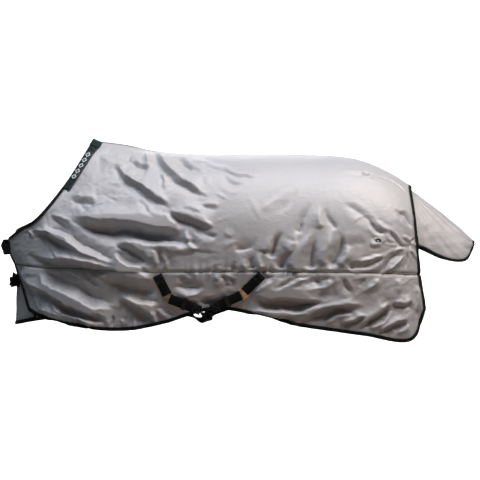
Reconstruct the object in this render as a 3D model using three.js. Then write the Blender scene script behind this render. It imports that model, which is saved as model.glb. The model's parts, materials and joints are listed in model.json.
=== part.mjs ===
// A horse's fly sheet as it is worn: two fabric sides sewn along the spine, a lower flank panel sewn to each
// side, a front that closes over the chest with two clip straps, a tail flap, and two crossed belly surcingles.
// Millimetres. +X runs from the chest to the tail, the horse's left side faces -Y, and +Z is up.
// The origin is on the horse's back, under the middle of the spine seam.
import * as THREE from "three";

// Driving dimensions. The pattern points below are drawn at PATTERN's size and graded to these.
const RUG_LENGTH = 1830; // chest to rear edge
const BARREL_WIDTH = 610; // across the widest point of the ribs
const RUG_DROP = 803; // from the back down to the lowest point of the hem
const PATTERN = { length: 1830, width: 610, drop: 803 };

const FABRIC = 2.4; // thickness of the panels
const SEAM_GAP = 1; // clearance between pieces that are sewn edge to edge
const BINDING = { width: 12, thickness: 5 };
const WELT = { width: 7, thickness: 2.4 };
const SPINE_TAPE = { width: 26, thickness: 1.2, gap: 1.6 };
const WEBBING = { width: 42, thickness: 2 };
const CHEST_WEBBING_WIDTH = 38;

// Clip plates: a slot plate on a tab, and a T-headed hook that drops over its lower bar. toTab is the share of the
// turn from the strap's line to the tab's line that a surcingle's hook makes.
const PLATE = { overhang: 8, thickness: 2.2, bar: 4.5, webbingSlot: 4.5, hookSlot: 7, corner: 3, play: 1 };
const HOOK = { neckWidth: 15, neckLength: 11.5, headWidth: 27, headLength: 6, headTaper: 2, play: 4, drop: 4, toTab: 0.6 };
const SLIDER = { frame: 4, clearance: 0.8, length: 17, wall: 1.6, along: 0.42 };
// Heights above the fabric's inner face, so that nothing in a clip touches its neighbour.
const LAYER = { plate: 5.2, hook: 8.6, tab: 8.4, strap: 11.4, overSeam: 5 };

const grade = ([x, halfWidth, z]) =>
  new THREE.Vector3(
    (x * RUG_LENGTH) / PATTERN.length,
    (halfWidth * BARREL_WIDTH) / PATTERN.width,
    (z * RUG_DROP) / PATTERN.drop,
  );
const spline = (points) => new THREE.CatmullRomCurve3(points.map(grade));

// Pattern lines, as (length, half width, height), with the same stations on each: front edge, chest corner,
// shoulder, neck base, withers, girth, barrel, loin, hip, buttock, rear edge.
const SHARED = {
  neck: [[-840, 165, -281], [-715, 118, -130], [-594, 0, 64]],
  spine: [
    [-594, 0, 64], [-448, 0, 44], [-330, 0, 18], [-100, 0, 1], [250, 0, 3], [555, 0, -18], [703, 0, -78],
    [787, 0, -130],
  ],
  widest: [
    [-817, 178, -395], [-690, 240, -390], [-537, 262, -390], [-317, 285, -395], [-18, 305, -400],
    [309, 305, -400], [584, 285, -400], [729, 247, -400], [802, 195, -390],
  ],
  seam: [
    [-798, 189, -488], [-689, 243, -491], [-537, 264, -498], [-317, 284, -502], [-18, 303, -503],
    [309, 303, -503], [584, 285, -506], [729, 250, -513], [811, 205, -518],
  ],
  hem: [
    [-752, 215, -712], [-618, 240, -738], [-459, 255, -745], [-304, 266, -718], [-66, 274, -655],
    [288, 280, -727], [570, 268, -768], [775, 238, -790], [835, 213, -666],
  ],
};
// The left front laps over the right one, which crosses the centre line underneath and hangs lower.
const LEFT_FRONT = {
  neck: [[-970, -20, -370], [-917, 95, -330]],
  widest: [[-961, -5, -430], [-911, 115, -410]],
  seam: [[-941, 22, -472], [-898, 128, -478]],
  hem: [[-874, 135, -665], [-820, 185, -695]],
};
const RIGHT_FRONT = {
  neck: [[-925, -58, -351], [-936, 75, -335]],
  widest: [[-921, -70, -425], [-936, 75, -408]],
  seam: [[-908, -75, -470], [-934, 85, -478]],
  hem: [[-852, -112, -706], [-941, 45, -730]],
};
const STATIONS = 10;
const WITHERS = 4 / STATIONS; // where the neckline meets the spine
const JOINT_U = 2 / STATIONS; // where each front folds back from the body
// How the cloth falls from its top line: 0 is straight like a tent, 1 is round like a barrel.
const ROUNDNESS = { atNeck: 0.3, from: 0.3, atBarrel: 1, by: 0.65 };
const V_WIDEST = 0.55;
const V_SEAM = 0.7;

const mix = (a, b, t) => a + (b - a) * t;
const range = (count, from, to) => Array.from({ length: count + 1 }, (_, i) => mix(from, to, i / count));
const clamp01 = (x) => Math.min(1, Math.max(0, x));
const smooth = (a, b, x) => {
  const t = clamp01((x - a) / (b - a));
  return t * t * (3 - 2 * t);
};

// One side of the rug as a surface of u (front to rear) and v (neckline or spine to hem). sign is -1 on the left.
function makeSide(sign, front) {
  // The neckline carries on down the other side, so it crosses the spine squarely.
  const beyond = SHARED.neck[1].map((value, axis) => (axis === 1 ? -value : value));
  const neck = spline([...front.neck, ...SHARED.neck, beyond]);
  const neckShare = (front.neck.length + SHARED.neck.length - 1) / (front.neck.length + SHARED.neck.length);
  const spine = spline(SHARED.spine);
  const widest = spline([...front.widest, ...SHARED.widest]);
  const seam = spline([...front.seam, ...SHARED.seam]);
  const hem = spline([...front.hem, ...SHARED.hem]);
  const top = (u) =>
    u < WITHERS ? neck.getPoint((u / WITHERS) * neckShare) : spine.getPoint((u - WITHERS) / (1 - WITHERS));
  const point = (u, v) => {
    const w = widest.getPoint(u);
    let p;
    if (v <= V_WIDEST) {
      const a = v / V_WIDEST;
      const angle = (a * Math.PI) / 2;
      const roundness = mix(ROUNDNESS.atNeck, ROUNDNESS.atBarrel, smooth(ROUNDNESS.from, ROUNDNESS.by, u));
      const t = top(u);
      const out = mix(a, Math.sin(angle), roundness);
      const down = mix(a, 1 - Math.cos(angle), roundness);
      p = new THREE.Vector3(mix(t.x, w.x, down), mix(t.y, w.y, out), mix(t.z, w.z, down));
    } else if (v <= V_SEAM) {
      p = w.lerp(seam.getPoint(u), (v - V_WIDEST) / (V_SEAM - V_WIDEST));
    } else {
      p = seam.getPoint(u).lerp(hem.getPoint(u), (v - V_SEAM) / (1 - V_SEAM));
    }
    p.y *= sign;
    return p;
  };
  const normal = (u, v) => {
    const d = 0.004;
    const along = point(Math.min(1, u + d), v).sub(point(Math.max(0, u - d), v));
    const across = point(u, Math.min(1, v + d)).sub(point(u, Math.max(0, v - d)));
    return along.cross(across).multiplyScalar(sign).normalize();
  };
  // The surface parameters of the point seen at (x, z) from the side.
  const find = (x, z) => {
    let u = 0.5;
    let v = 0.8;
    for (let pass = 0; pass < 12; pass++) {
      u = bisect((t) => point(t, v).x - x, JOINT_U, 1);
      v = bisect((t) => z - point(u, t).z, 0.2, 1);
    }
    return [u, v];
  };
  return { sign, point, normal, find };
}
function bisect(f, low, high) {
  for (let i = 0; i < 30; i++) {
    const middle = (low + high) / 2;
    if (f(middle) < 0) low = middle;
    else high = middle;
  }
  return (low + high) / 2;
}
const left = makeSide(-1, LEFT_FRONT);
const right = makeSide(1, RIGHT_FRONT);

// Geometry of one closed body from its vertices and faces, turned so that its faces point out.
function closedBody(vertices, faces) {
  let volume = 0;
  for (const [a, b, c] of faces) {
    volume += vertices[a].dot(new THREE.Vector3().crossVectors(vertices[b], vertices[c]));
  }
  const index = volume < 0 ? faces.flatMap(([a, b, c]) => [a, c, b]) : faces.flat();
  const geometry = new THREE.BufferGeometry().setFromPoints(vertices);
  geometry.setIndex(index);
  geometry.computeVertexNormals();
  return geometry;
}
const quad = (a, b, c, d) => [[a, b, c], [a, c, d]];

// A sheet of even thickness over a grid of {p, n}, from height low to height high along n.
function sheet(grid, low, high) {
  const rows = grid.length;
  const columns = grid[0].length;
  const layer = (height) => grid.flat().map(({ p, n }) => p.clone().addScaledVector(n, height));
  const inner = rows * columns;
  const faces = [];
  const at = (i, j) => i * columns + j;
  for (let i = 0; i < rows - 1; i++) {
    for (let j = 0; j < columns - 1; j++) {
      const [a, b, c, d] = [at(i, j), at(i + 1, j), at(i + 1, j + 1), at(i, j + 1)];
      faces.push(...quad(a, b, c, d), ...quad(inner + d, inner + c, inner + b, inner + a));
    }
  }
  const rim = [];
  for (let j = 0; j < columns - 1; j++) rim.push(at(0, j));
  for (let i = 0; i < rows - 1; i++) rim.push(at(i, columns - 1));
  for (let j = columns - 1; j > 0; j--) rim.push(at(rows - 1, j));
  for (let i = rows - 1; i > 0; i--) rim.push(at(i, 0));
  rim.forEach((a, k) => {
    const b = rim[(k + 1) % rim.length];
    faces.push(...quad(a, b, inner + b, inner + a));
  });
  return closedBody([...layer(high), ...layer(low)], faces);
}

// A flat band along frames of {p, n, side}: it spans widths w0 to w1 along side and heights h0 to h1 along n.
function band(frames, w0, w1, h0, h1) {
  const corner = ({ p, n, side }, w, h) => p.clone().addScaledVector(side, w).addScaledVector(n, h);
  const vertices = frames.flatMap((f) => [
    corner(f, w0, h0), corner(f, w1, h0), corner(f, w1, h1), corner(f, w0, h1),
  ]);
  const faces = [];
  const last = (frames.length - 1) * 4;
  for (let k = 0; k < last; k += 4) {
    for (let e = 0; e < 4; e++) faces.push(...quad(k + e, k + ((e + 1) % 4), k + 4 + ((e + 1) % 4), k + 4 + e));
  }
  faces.push(...quad(3, 2, 1, 0), ...quad(last, last + 1, last + 2, last + 3));
  return closedBody(vertices, faces);
}

const panelGrid = (side, us, vs, keepOffCentre) =>
  us.map((u) =>
    vs.map((v) => {
      const p = side.point(u, v);
      const n = side.normal(u, v);
      if (keepOffCentre) {
        p.y = side.sign * Math.max(side.sign * p.y, SEAM_GAP);
        if (v === 0 && u >= WITHERS) n.set(n.x, 0, n.z).normalize();
      }
      return { p, n };
    }),
  );

// Frames along an edge of a surface, where side points out of the surface past its edge.
function edgeFrames(surface, path, outward) {
  const points = path.map(([u, v]) => surface.point(u, v));
  return points.map((p, i) => {
    const tangent = points[Math.min(i + 1, points.length - 1)].clone().sub(points[Math.max(i - 1, 0)]).normalize();
    const n = surface.normal(...path[i]);
    return { p, n, side: new THREE.Vector3().crossVectors(tangent, n).multiplyScalar(-outward).normalize() };
  });
}
// Frames along a curve, flat side towards the normals that turn from n0 to n1.
function strapFrames(points, normals, count) {
  const curve = new THREE.CatmullRomCurve3(points);
  const facing = new THREE.CatmullRomCurve3(normals);
  return range(count, 0, 1).map((t) => {
    const p = curve.getPoint(t);
    const tangent = curve.getTangent(t);
    const n = facing.getPoint(t);
    n.addScaledVector(tangent, -n.dot(tangent)).normalize();
    return { p, n, side: new THREE.Vector3().crossVectors(tangent, n).normalize() };
  });
}

const rug = new THREE.Group();
const colour = { fabric: 0xb9bbbf, black: 0x141517, metal: 0xb9a064, label: 0xa9adb0 };
const material = {
  fabric: new THREE.MeshStandardMaterial({ color: colour.fabric, roughness: 0.45, metalness: 0 }),
  webbing: new THREE.MeshStandardMaterial({ color: colour.black, roughness: 0.85, metalness: 0 }),
  metal: new THREE.MeshStandardMaterial({ color: colour.metal, roughness: 0.3, metalness: 1 }),
  label: new THREE.MeshStandardMaterial({ color: colour.label, roughness: 0.7, metalness: 0 }),
};
function add(name, geometry, finish) {
  const mesh = new THREE.Mesh(geometry, material[finish]);
  mesh.name = name;
  rug.add(mesh);
  return mesh;
}

// Gaps as shares of the pattern: at the front's fold line, at the flank seam, and where bindings stop short.
const U_GAP = 0.0013;
const V_GAP = 0.0022;
const BINDING_U_GAP = 0.003;
const BINDING_V_GAP = 0.012;
// The grid lines of the panels, which every binding and welt sewn to them follows.
const BODY_U = [...range(7, JOINT_U + U_GAP, WITHERS), ...range(19, WITHERS, 1).slice(1)];
const FRONT_U = range(8, 0, JOINT_U - U_GAP);
const SIDE_V = range(10, 0, V_SEAM - V_GAP);
const FLANK_V = range(4, V_SEAM + V_GAP, 1);

function addPanels(name, side) {
  add(`${name}_side_panel`, sheet(panelGrid(side, BODY_U, SIDE_V, true), 0, FABRIC), "fabric");
  add(`${name}_flank_panel`, sheet(panelGrid(side, BODY_U, FLANK_V, false), 0, FABRIC), "fabric");
  add(`${name}_front_panel`, sheet(panelGrid(side, FRONT_U, [...SIDE_V, ...FLANK_V], false), 0, FABRIC), "fabric");
}

// Bindings butt against the panels' edges. Middle of the binding's thickness is the middle of the fabric.
const bindingBand = (frames) =>
  band(frames, SEAM_GAP, SEAM_GAP + BINDING.width, (FABRIC - BINDING.thickness) / 2, (FABRIC + BINDING.thickness) / 2);
// The neck strip: a patch on each side from start to end, and one over the withers. past is how far it stands out
// over the edge of the cloth.
const PATCH = { start: 0.2955, end: WITHERS - 0.032, width: 34, thickness: 3, past: 10 };
const LABEL = { margin: 6, thickness: 0.8, first: 2, last: 6 };
const patchBand = (frames, low) => band(frames, PATCH.past - PATCH.width, PATCH.past, low, low + PATCH.thickness);

function addBindings(name, side) {
  const s = -side.sign;
  const bodyStart = JOINT_U + BINDING_U_GAP;
  const hem = [bodyStart, ...BODY_U.slice(1)].map((u) => [u, 1]);
  const rear = [...SIDE_V, ...FLANK_V].slice(1, -1).reverse().map((v) => [1, v]);
  rear.push([1, BINDING_V_GAP]);
  add(`${name}_hem_binding`, bindingBand(edgeFrames(side, [...hem, ...rear], -s)), "webbing");
  const neck = [bodyStart, ...BODY_U.slice(1).filter((u) => u < PATCH.start)];
  add(`${name}_neck_binding`, bindingBand(edgeFrames(side, neck.map((u) => [u, 0]), s)), "webbing");
  const foldEnd = JOINT_U - BINDING_U_GAP;
  const front = [
    ...[foldEnd, ...FRONT_U.slice(1, -1).reverse()].map((u) => [u, 0]),
    ...[...SIDE_V, ...FLANK_V].map((v) => [0, v]),
    ...[...FRONT_U.slice(1, -1), foldEnd].map((u) => [u, 1]),
  ];
  add(`${name}_front_binding`, bindingBand(edgeFrames(side, front, -s)), "webbing");
}

function addNeckPatch(name, side) {
  const path = range(8, PATCH.start, PATCH.end).map((u) => [u, 0]);
  const frames = edgeFrames(side, path, -side.sign);
  const low = FABRIC + SEAM_GAP;
  add(`${name}_neck_patch`, patchBand(frames, low), "webbing");
  return { frames, top: low + PATCH.thickness };
}
function addLabel(patch) {
  const frames = patch.frames.slice(LABEL.first, LABEL.last + 1);
  const low = patch.top + 2 * SEAM_GAP;
  const from = PATCH.past - PATCH.width + LABEL.margin;
  add("left_neck_label", band(frames, from, PATCH.past - LABEL.margin, low, low + LABEL.thickness), "label");
}
// The strip over the withers turns from square to the neckline at its ends to straight down the spine at the top.
function addWithersPatch() {
  const reach = 0.014; // the strip's width inside the edge, as a share of the pattern along the spine
  const inside = PATCH.width - PATCH.past;
  const columns = [-PATCH.past / inside, 0, 0.5, 1];
  const path = range(6, PATCH.end + 2 * BINDING_U_GAP, WITHERS);
  const rows = (side) =>
    edgeFrames(side, path.map((u) => [u, 0]), -side.sign).map((frame, i) => {
      const turn = smooth(path[0], WITHERS, path[i]);
      const square = frame.side.clone().multiplyScalar(-inside);
      const inner = square.lerp(side.point(path[i] + reach, 0).sub(frame.p), turn);
      const n = side.normal(path[i] + reach, 2 * reach);
      if (turn === 1) n.setY(0).normalize();
      return columns.map((w) => ({ p: frame.p.clone().addScaledVector(inner, w), n }));
    });
  const grid = [...rows(left), ...rows(right).slice(0, -1).reverse()];
  add("withers_patch", sheet(grid, LAYER.overSeam, LAYER.overSeam + PATCH.thickness), "webbing");
}

// An oval ring sewn on the hip, with its opening over the panel.
const EYELET = { at: [630, -368], slope: -0.15, length: 26, width: 18, wall: 4, thickness: 1.6 };
function addHipEyelet(name, side) {
  const [u, v] = side.find(...gradedXZ(EYELET.at));
  const n = side.normal(u, v);
  const { length, width, wall, thickness } = EYELET;
  const shape = new THREE.Shape().absellipse(0, 0, width / 2, length / 2, 0, 2 * Math.PI);
  shape.holes.push(new THREE.Path().absellipse(0, 0, width / 2 - wall, length / 2 - wall, 0, 2 * Math.PI));
  const ring = add(`${name}_hip_eyelet`, extrude(shape, thickness), "webbing");
  const p = side.point(u, v).addScaledVector(n, FABRIC + SEAM_GAP + thickness / 2);
  place(ring, p, new THREE.Vector3(1, 0, EYELET.slope), n);
}

// The tape lies inside the spine seam, folded along its middle to lie flat against both panels.
function addSpineTape() {
  const rows = BODY_U.slice(0, -1).filter((u) => u > WITHERS + BINDING_V_GAP);
  const grid = rows.map((u) =>
    [-1, 0, 1].map((across) => {
      const side = across < 0 ? left : right;
      const n = side.normal(u, 0);
      const p = side.point(u, 0);
      if (across === 0) return { p, n: n.set(n.x, 0, n.z).normalize() };
      const down = side.point(u, SIDE_V[1]).sub(p).normalize();
      return { p: p.addScaledVector(down, SPINE_TAPE.width / 2), n };
    }),
  );
  add("spine_seam_tape", sheet(grid, -SPINE_TAPE.gap - SPINE_TAPE.thickness, -SPINE_TAPE.gap), "webbing");
}
function addWelt(name, side) {
  const path = [...BODY_U.slice(0, -1), 1 - 2 * BINDING_U_GAP].map((u) => [u, V_SEAM]);
  const frames = edgeFrames(side, path, 1);
  const low = FABRIC + SEAM_GAP;
  add(`${name}_flank_welt`, band(frames, -WELT.width / 2, WELT.width / 2, low, low + WELT.thickness), "fabric");
}

// The tail flap: a tongue that drapes over the dock, as a surface of u (root to tip) and v (left edge to right edge).
const FLAP = {
  ridge: [[790, 0, -143], [842, 0, -181], [936, 0, -252], [1020, 0, -322], [1072, 0, -372]],
  edge: [[795, 158, -376], [868, 138, -414], [957, 108, -452], [1030, 78, -452], [1068, 26, -400]],
  roundness: 0.8,
  bindingWidth: 8.4,
};
const flap = (() => {
  const ridge = spline(FLAP.ridge);
  const edge = spline(FLAP.edge);
  const point = (u, v) => {
    const a = 2 * v - 1;
    const angle = (Math.abs(a) * Math.PI) / 2;
    const r = ridge.getPoint(u);
    const e = edge.getPoint(u);
    const out = mix(Math.abs(a), Math.sin(angle), FLAP.roundness);
    const down = mix(Math.abs(a), 1 - Math.cos(angle), FLAP.roundness);
    return new THREE.Vector3(mix(r.x, e.x, down), Math.sign(a) * e.y * out, mix(r.z, e.z, down));
  };
  const normal = (u, v) => {
    const d = 0.01;
    const along = point(Math.min(1, u + d), v).sub(point(Math.max(0, u - d), v));
    const across = point(u, Math.min(1, v + d)).sub(point(u, Math.max(0, v - d)));
    return along.cross(across).normalize();
  };
  return { point, normal };
})();
const FLAP_U = range(12, 0, 1);
const FLAP_V = range(14, 0, 1);
function addTailFlap() {
  const grid = FLAP_U.map((u) => FLAP_V.map((v) => ({ p: flap.point(u, v), n: flap.normal(u, v) })));
  add("tail_flap", sheet(grid, -FABRIC, 0), "fabric");
  const sides = FLAP_U.slice(2);
  const path = [
    ...sides.map((u) => [u, 0]),
    ...FLAP_V.slice(1, -1).map((v) => [1, v]),
    ...sides.reverse().map((u) => [u, 1]),
  ];
  const frames = edgeFrames(flap, path, -1);
  const middle = -FABRIC / 2;
  const half = BINDING.thickness / 2;
  const geometry = band(frames, SEAM_GAP, SEAM_GAP + FLAP.bindingWidth, middle - half, middle + half);
  add("tail_flap_binding", geometry, "webbing");
}

// Flat metal parts, drawn with their length along +Y, their width along X and their thickness along Z.
function rounded(width, low, high, radius) {
  const w = width / 2;
  const shape = new THREE.Shape();
  shape.moveTo(-w + radius, low);
  shape.lineTo(w - radius, low).lineTo(w, low + radius).lineTo(w, high - radius).lineTo(w - radius, high);
  shape.lineTo(-w + radius, high).lineTo(-w, high - radius).lineTo(-w, low + radius);
  shape.closePath();
  return shape;
}
function slot(width, low, high) {
  const w = width / 2;
  const path = new THREE.Path();
  path.moveTo(-w, low).lineTo(-w, high).lineTo(w, high).lineTo(w, low);
  path.closePath();
  return path;
}
const extrude = (shape, thickness) =>
  new THREE.ExtrudeGeometry(shape, { depth: thickness, bevelEnabled: false, curveSegments: 6 }).translate(
    0, 0, -thickness / 2,
  );
// The slot plate: its webbing slot is above y = 0 and its hook slot below, and it ends at its lower bar.
function slotPlate(webbingWidth) {
  const { bar, webbingSlot, hookSlot, overhang, thickness } = PLATE;
  const width = webbingWidth + overhang;
  const shape = rounded(width, -bar - hookSlot, bar + webbingSlot + bar, PLATE.corner);
  shape.holes.push(slot(webbingWidth + PLATE.play, bar, bar + webbingSlot));
  shape.holes.push(slot(HOOK.headWidth + HOOK.play, -hookSlot, 0));
  return extrude(shape, thickness);
}
// The hook: y = 0 is the top of its frame, the neck and head stand above it, and its webbing slot is below.
function hookPlate(webbingWidth) {
  const { bar, webbingSlot, overhang, thickness } = PLATE;
  const { neckWidth, neckLength, headWidth, headLength, headTaper } = HOOK;
  const w = (webbingWidth + overhang) / 2;
  const bottom = -2 * bar - webbingSlot;
  const shape = new THREE.Shape();
  shape.moveTo(-w, bottom).lineTo(w, bottom).lineTo(w, 0).lineTo(neckWidth / 2, 0);
  shape.lineTo(neckWidth / 2, neckLength - headLength).lineTo(headWidth / 2, neckLength - headLength);
  shape.lineTo(headWidth / 2 - headTaper, neckLength).lineTo(headTaper - headWidth / 2, neckLength);
  shape.lineTo(-headWidth / 2, neckLength - headLength).lineTo(-neckWidth / 2, neckLength - headLength);
  shape.lineTo(-neckWidth / 2, 0).lineTo(-w, 0);
  shape.closePath();
  shape.holes.push(slot(webbingWidth + PLATE.play, -bar - webbingSlot, -bar));
  return extrude(shape, thickness);
}
// The slider: a flat sleeve round the webbing, which runs through it along Y.
function sliderFrame(webbingWidth) {
  const { frame, clearance, length, wall } = SLIDER;
  const w = webbingWidth + 2 * clearance;
  const t = WEBBING.thickness + 2 * clearance;
  const shape = new THREE.Shape();
  shape.moveTo(-w / 2 - frame, -t / 2 - wall).lineTo(w / 2 + frame, -t / 2 - wall);
  shape.lineTo(w / 2 + frame, t / 2 + wall).lineTo(-w / 2 - frame, t / 2 + wall);
  shape.closePath();
  shape.holes.push(slot(w, -t / 2, t / 2));
  return extrude(shape, length).rotateX(Math.PI / 2);
}
// Puts a flat part at a point, with its length along `along` and its thickness along `n`.
function place(mesh, p, along, n) {
  const z = n.clone().normalize();
  const y = along.clone().addScaledVector(z, -along.dot(z)).normalize();
  const x = new THREE.Vector3().crossVectors(y, z);
  mesh.applyMatrix4(new THREE.Matrix4().makeBasis(x, y, z).setPosition(p));
}

// A surcingle's near end: a tab from the flank seam, then the clip, then the strap down to the hem,
// where it turns under the belly. Positions are given as seen from the left: x along the rug and z up.
const SURCINGLE = {
  front: { tabTop: [-323, -516], clip: [-278, -604], hemTurn: [-132, -682], far: [180, -600], lift: 0 },
  rear: { tabTop: [127, -514], clip: [50, -590], hemTurn: [-93, -692], far: [-270, -600], lift: 13 },
};
function gradedXZ([x, z]) {
  return [(x * RUG_LENGTH) / PATTERN.length, (z * RUG_DROP) / PATTERN.drop];
}
function onLeft(xz) {
  const [u, v] = left.find(...gradedXZ(xz));
  return { p: left.point(u, v), n: left.normal(u, v) };
}
const TAB_SHORT = 6; // how far a tab's webbing stops from the middle of its slot plate
const TURN_SHORT = 0.32 * WEBBING.width; // how far a strap's flat end stops before its turn at the hem

function addSurcingle(name, plan) {
  const half = WEBBING.width / 2;
  const t = WEBBING.thickness / 2;
  const start = onLeft(plan.tabTop);
  const clip = onLeft(plan.clip);
  const n = start.n.clone().add(clip.n).normalize();
  const tabDirection = clip.p.clone().sub(start.p).normalize();
  const lift = (p, height) => p.clone().addScaledVector(n, height);
  const tabEnd = clip.p.clone().addScaledVector(tabDirection, -TAB_SHORT);
  const tabFrames = strapFrames([lift(start.p, LAYER.tab), lift(tabEnd, LAYER.tab)], [n, n], 2);
  add(`${name}_surcingle_tab`, band(tabFrames, -half, half, -t, t), "webbing");
  const plate = add(`${name}_slot_plate`, slotPlate(WEBBING.width), "metal");
  place(plate, lift(clip.p, LAYER.plate), tabDirection.clone().negate(), n);

  const hemTurn = onLeft(plan.hemTurn);
  const hookRoot = clip.p.clone().addScaledVector(tabDirection, PLATE.bar + HOOK.drop);
  const down = hemTurn.p.clone().sub(hookRoot);
  down.addScaledVector(n, -down.dot(n)).normalize();
  const hook = add(`${name}_surcingle_hook`, hookPlate(WEBBING.width), "metal");
  const hookAlong = down.clone().lerp(tabDirection, HOOK.toTab).normalize().negate();
  place(hook, lift(hookRoot, LAYER.hook), hookAlong, n);
  const strapStart = hookRoot.clone().addScaledVector(hookAlong, -1.5 * PLATE.bar - PLATE.webbingSlot / 2);
  const straight = hemTurn.p.clone().sub(strapStart).length() + BINDING.width;
  const strapAt = (d) => lift(strapStart.clone().addScaledVector(down, d), LAYER.strap + plan.lift * (d / straight));
  const endFrames = strapFrames([strapAt(0), strapAt(straight - TURN_SHORT)], [n, n], 2);
  add(`${name}_strap_end`, band(endFrames, -half, half, -t, t), "webbing");
  const slider = add(`${name}_slider`, sliderFrame(WEBBING.width), "metal");
  const upStrap = endFrames[0].p.clone().sub(endFrames[2].p);
  place(slider, strapAt(straight * SLIDER.along), upStrap, endFrames[0].n);

  addBellyStrap(name, plan, strapAt(straight), down, n);
}
// The strap under the belly, from the turn at the left hem to the inside of the right flank.
const BELLY = {
  startGap: 5, turnRun: 22, turnIn: 26, drop: 12, sag: 4, deeper: 1.6, farIn: 46, farDrop: 38, offCloth: 8,
  tilt: 0.64, steps: 22,
};
const tilted = (angle) => new THREE.Vector3(0, Math.sin(angle), -Math.cos(angle));
function addBellyStrap(name, plan, turn, down, n) {
  const half = WEBBING.width / 2;
  const t = WEBBING.thickness / 2;
  const [u, v] = right.find(...gradedXZ(plan.far));
  const outside = right.normal(u, v);
  const far = right.point(u, v).addScaledVector(outside, -BELLY.offCloth);
  const { turnRun, turnIn, drop, sag } = BELLY;
  const deeper = plan.lift * BELLY.deeper; // the strap that crosses over hangs lower
  const underHem = turn.clone().add(new THREE.Vector3(down.x * turnRun, turnIn - plan.lift, -drop - deeper));
  const middle = underHem.clone().lerp(far, 0.5);
  middle.z -= sag + deeper;
  const nearFar = far.clone().add(new THREE.Vector3(0, -BELLY.farIn, -BELLY.farDrop));
  const points = [turn.clone().addScaledVector(down, BELLY.startGap), underHem, middle, nearFar, far];
  const facing = [n, tilted(-BELLY.tilt), tilted(0), tilted(BELLY.tilt), outside];
  const frames = strapFrames(points, facing, BELLY.steps);
  add(`${name}_belly_strap`, band(frames, -half, half, -t, t), "webbing");
}

// A chest closure: a strap sewn to the left front's edge bulges across the chest to a hook, over a slot plate on a
// tab of the right front. The hook lies over the plate, so the left front opens first.
const CHEST = {
  upper: { v: 0.4, clipU: 0.135, bulge: 30, rise: 6 },
  lower: { v: 0.79, clipU: 0.085, bulge: 0, rise: 7.5 },
  tabGap: 1, // between the slot plate's bar and the tab
  tabLength: 52,
  strapLap: 5, // how far the strap reaches past the hook's bar
  strapFlat: 14, // the strap's flat run before the hook
  steps: 14,
};
function addChestClosure(name, plan) {
  const half = CHEST_WEBBING_WIDTH / 2;
  const t = WEBBING.thickness / 2;
  const u = plan.clipU;
  const p = right.point(u, plan.v);
  const n = right.normal(u, plan.v);
  const along = right.point(u + 0.01, plan.v).sub(p);
  along.addScaledVector(n, -along.dot(n)).normalize(); // towards the right shoulder
  const lift = (q, height) => q.clone().addScaledVector(n, height);
  const tabStart = p.clone().addScaledVector(along, PLATE.bar + CHEST.tabGap);
  const tabEnd = p.clone().addScaledVector(along, CHEST.tabLength);
  const tab = strapFrames([lift(tabStart, LAYER.tab), lift(tabEnd, LAYER.tab)], [n, n], 2);
  add(`${name}_chest_tab`, band(tab, -half, half, -t, t), "webbing");
  const plate = add(`${name}_chest_slot_plate`, slotPlate(CHEST_WEBBING_WIDTH), "metal");
  place(plate, lift(p, LAYER.plate), along, n);
  const hookRoot = p.clone().addScaledVector(along, -PLATE.bar - HOOK.drop);
  const hook = add(`${name}_chest_hook`, hookPlate(CHEST_WEBBING_WIDTH), "metal");
  place(hook, lift(hookRoot, LAYER.hook), along, n);
  const end = lift(hookRoot.clone().addScaledVector(along, -PLATE.bar - CHEST.strapLap), LAYER.strap);
  const edge = edgeFrames(left, [-0.02, 0, 0.02].map((step) => [0, plan.v + step]), -1)[1];
  const start = edge.p.clone().addScaledVector(edge.side, BINDING.width + 2).addScaledVector(edge.n, plan.rise);
  const run = end.clone().sub(start);
  const out = edge.n.clone().add(n).normalize();
  const points = [0, 0.3, 0.6].map((s) => start.clone().addScaledVector(run, s));
  points[1].addScaledVector(out, plan.bulge);
  points[2].addScaledVector(out, plan.bulge * 0.8);
  points.push(end.clone().addScaledVector(along, -CHEST.strapFlat).addScaledVector(n, 1), end);
  const frames = strapFrames(points, [edge.n, out, out, n, n], CHEST.steps);
  add(`${name}_chest_strap`, band(frames, -half, half, -t, t), "webbing");
}

addPanels("left", left);
addPanels("right", right);
addBindings("left", left);
addBindings("right", right);
addLabel(addNeckPatch("left", left));
addNeckPatch("right", right);
addWithersPatch();
addSpineTape();
addWelt("left", left);
addWelt("right", right);
addTailFlap();
addHipEyelet("left", left);
addHipEyelet("right", right);
addSurcingle("front", SURCINGLE.front);
addSurcingle("rear", SURCINGLE.rear);
addChestClosure("upper", CHEST.upper);
addChestClosure("lower", CHEST.lower);

export default rug;
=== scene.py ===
"""A horse's fly sheet in its worn shape: coated cloth, tape bindings, webbing straps and plated clips.

Everything is in metres in the frame's own axes: +X towards the tail, -Y the horse's left side, +Z up.
"""

import json
import math

import bpy
import numpy as np
from bpy.props import FloatProperty, FloatVectorProperty, PointerProperty
from mathutils import Matrix, Vector


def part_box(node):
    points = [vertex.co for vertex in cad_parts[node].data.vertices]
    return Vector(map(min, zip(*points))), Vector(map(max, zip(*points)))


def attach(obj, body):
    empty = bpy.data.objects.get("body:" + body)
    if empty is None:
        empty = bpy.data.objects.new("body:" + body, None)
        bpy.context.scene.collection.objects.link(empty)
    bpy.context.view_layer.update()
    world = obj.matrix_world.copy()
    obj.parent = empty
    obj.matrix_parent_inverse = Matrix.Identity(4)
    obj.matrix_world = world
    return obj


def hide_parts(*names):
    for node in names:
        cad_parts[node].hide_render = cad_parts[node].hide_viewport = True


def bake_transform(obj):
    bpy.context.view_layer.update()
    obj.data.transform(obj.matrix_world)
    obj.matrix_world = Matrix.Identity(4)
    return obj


bl_info = {
    "name": "Horse fly sheet",
    "version": (1, 0, 0),
    "blender": (4, 5, 0),
    "location": "View3D > Sidebar > Fly sheet",
    "description": "Dresses a fly sheet's frame with cloth, bindings, straps and clips",
    "category": "Object",
}

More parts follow.
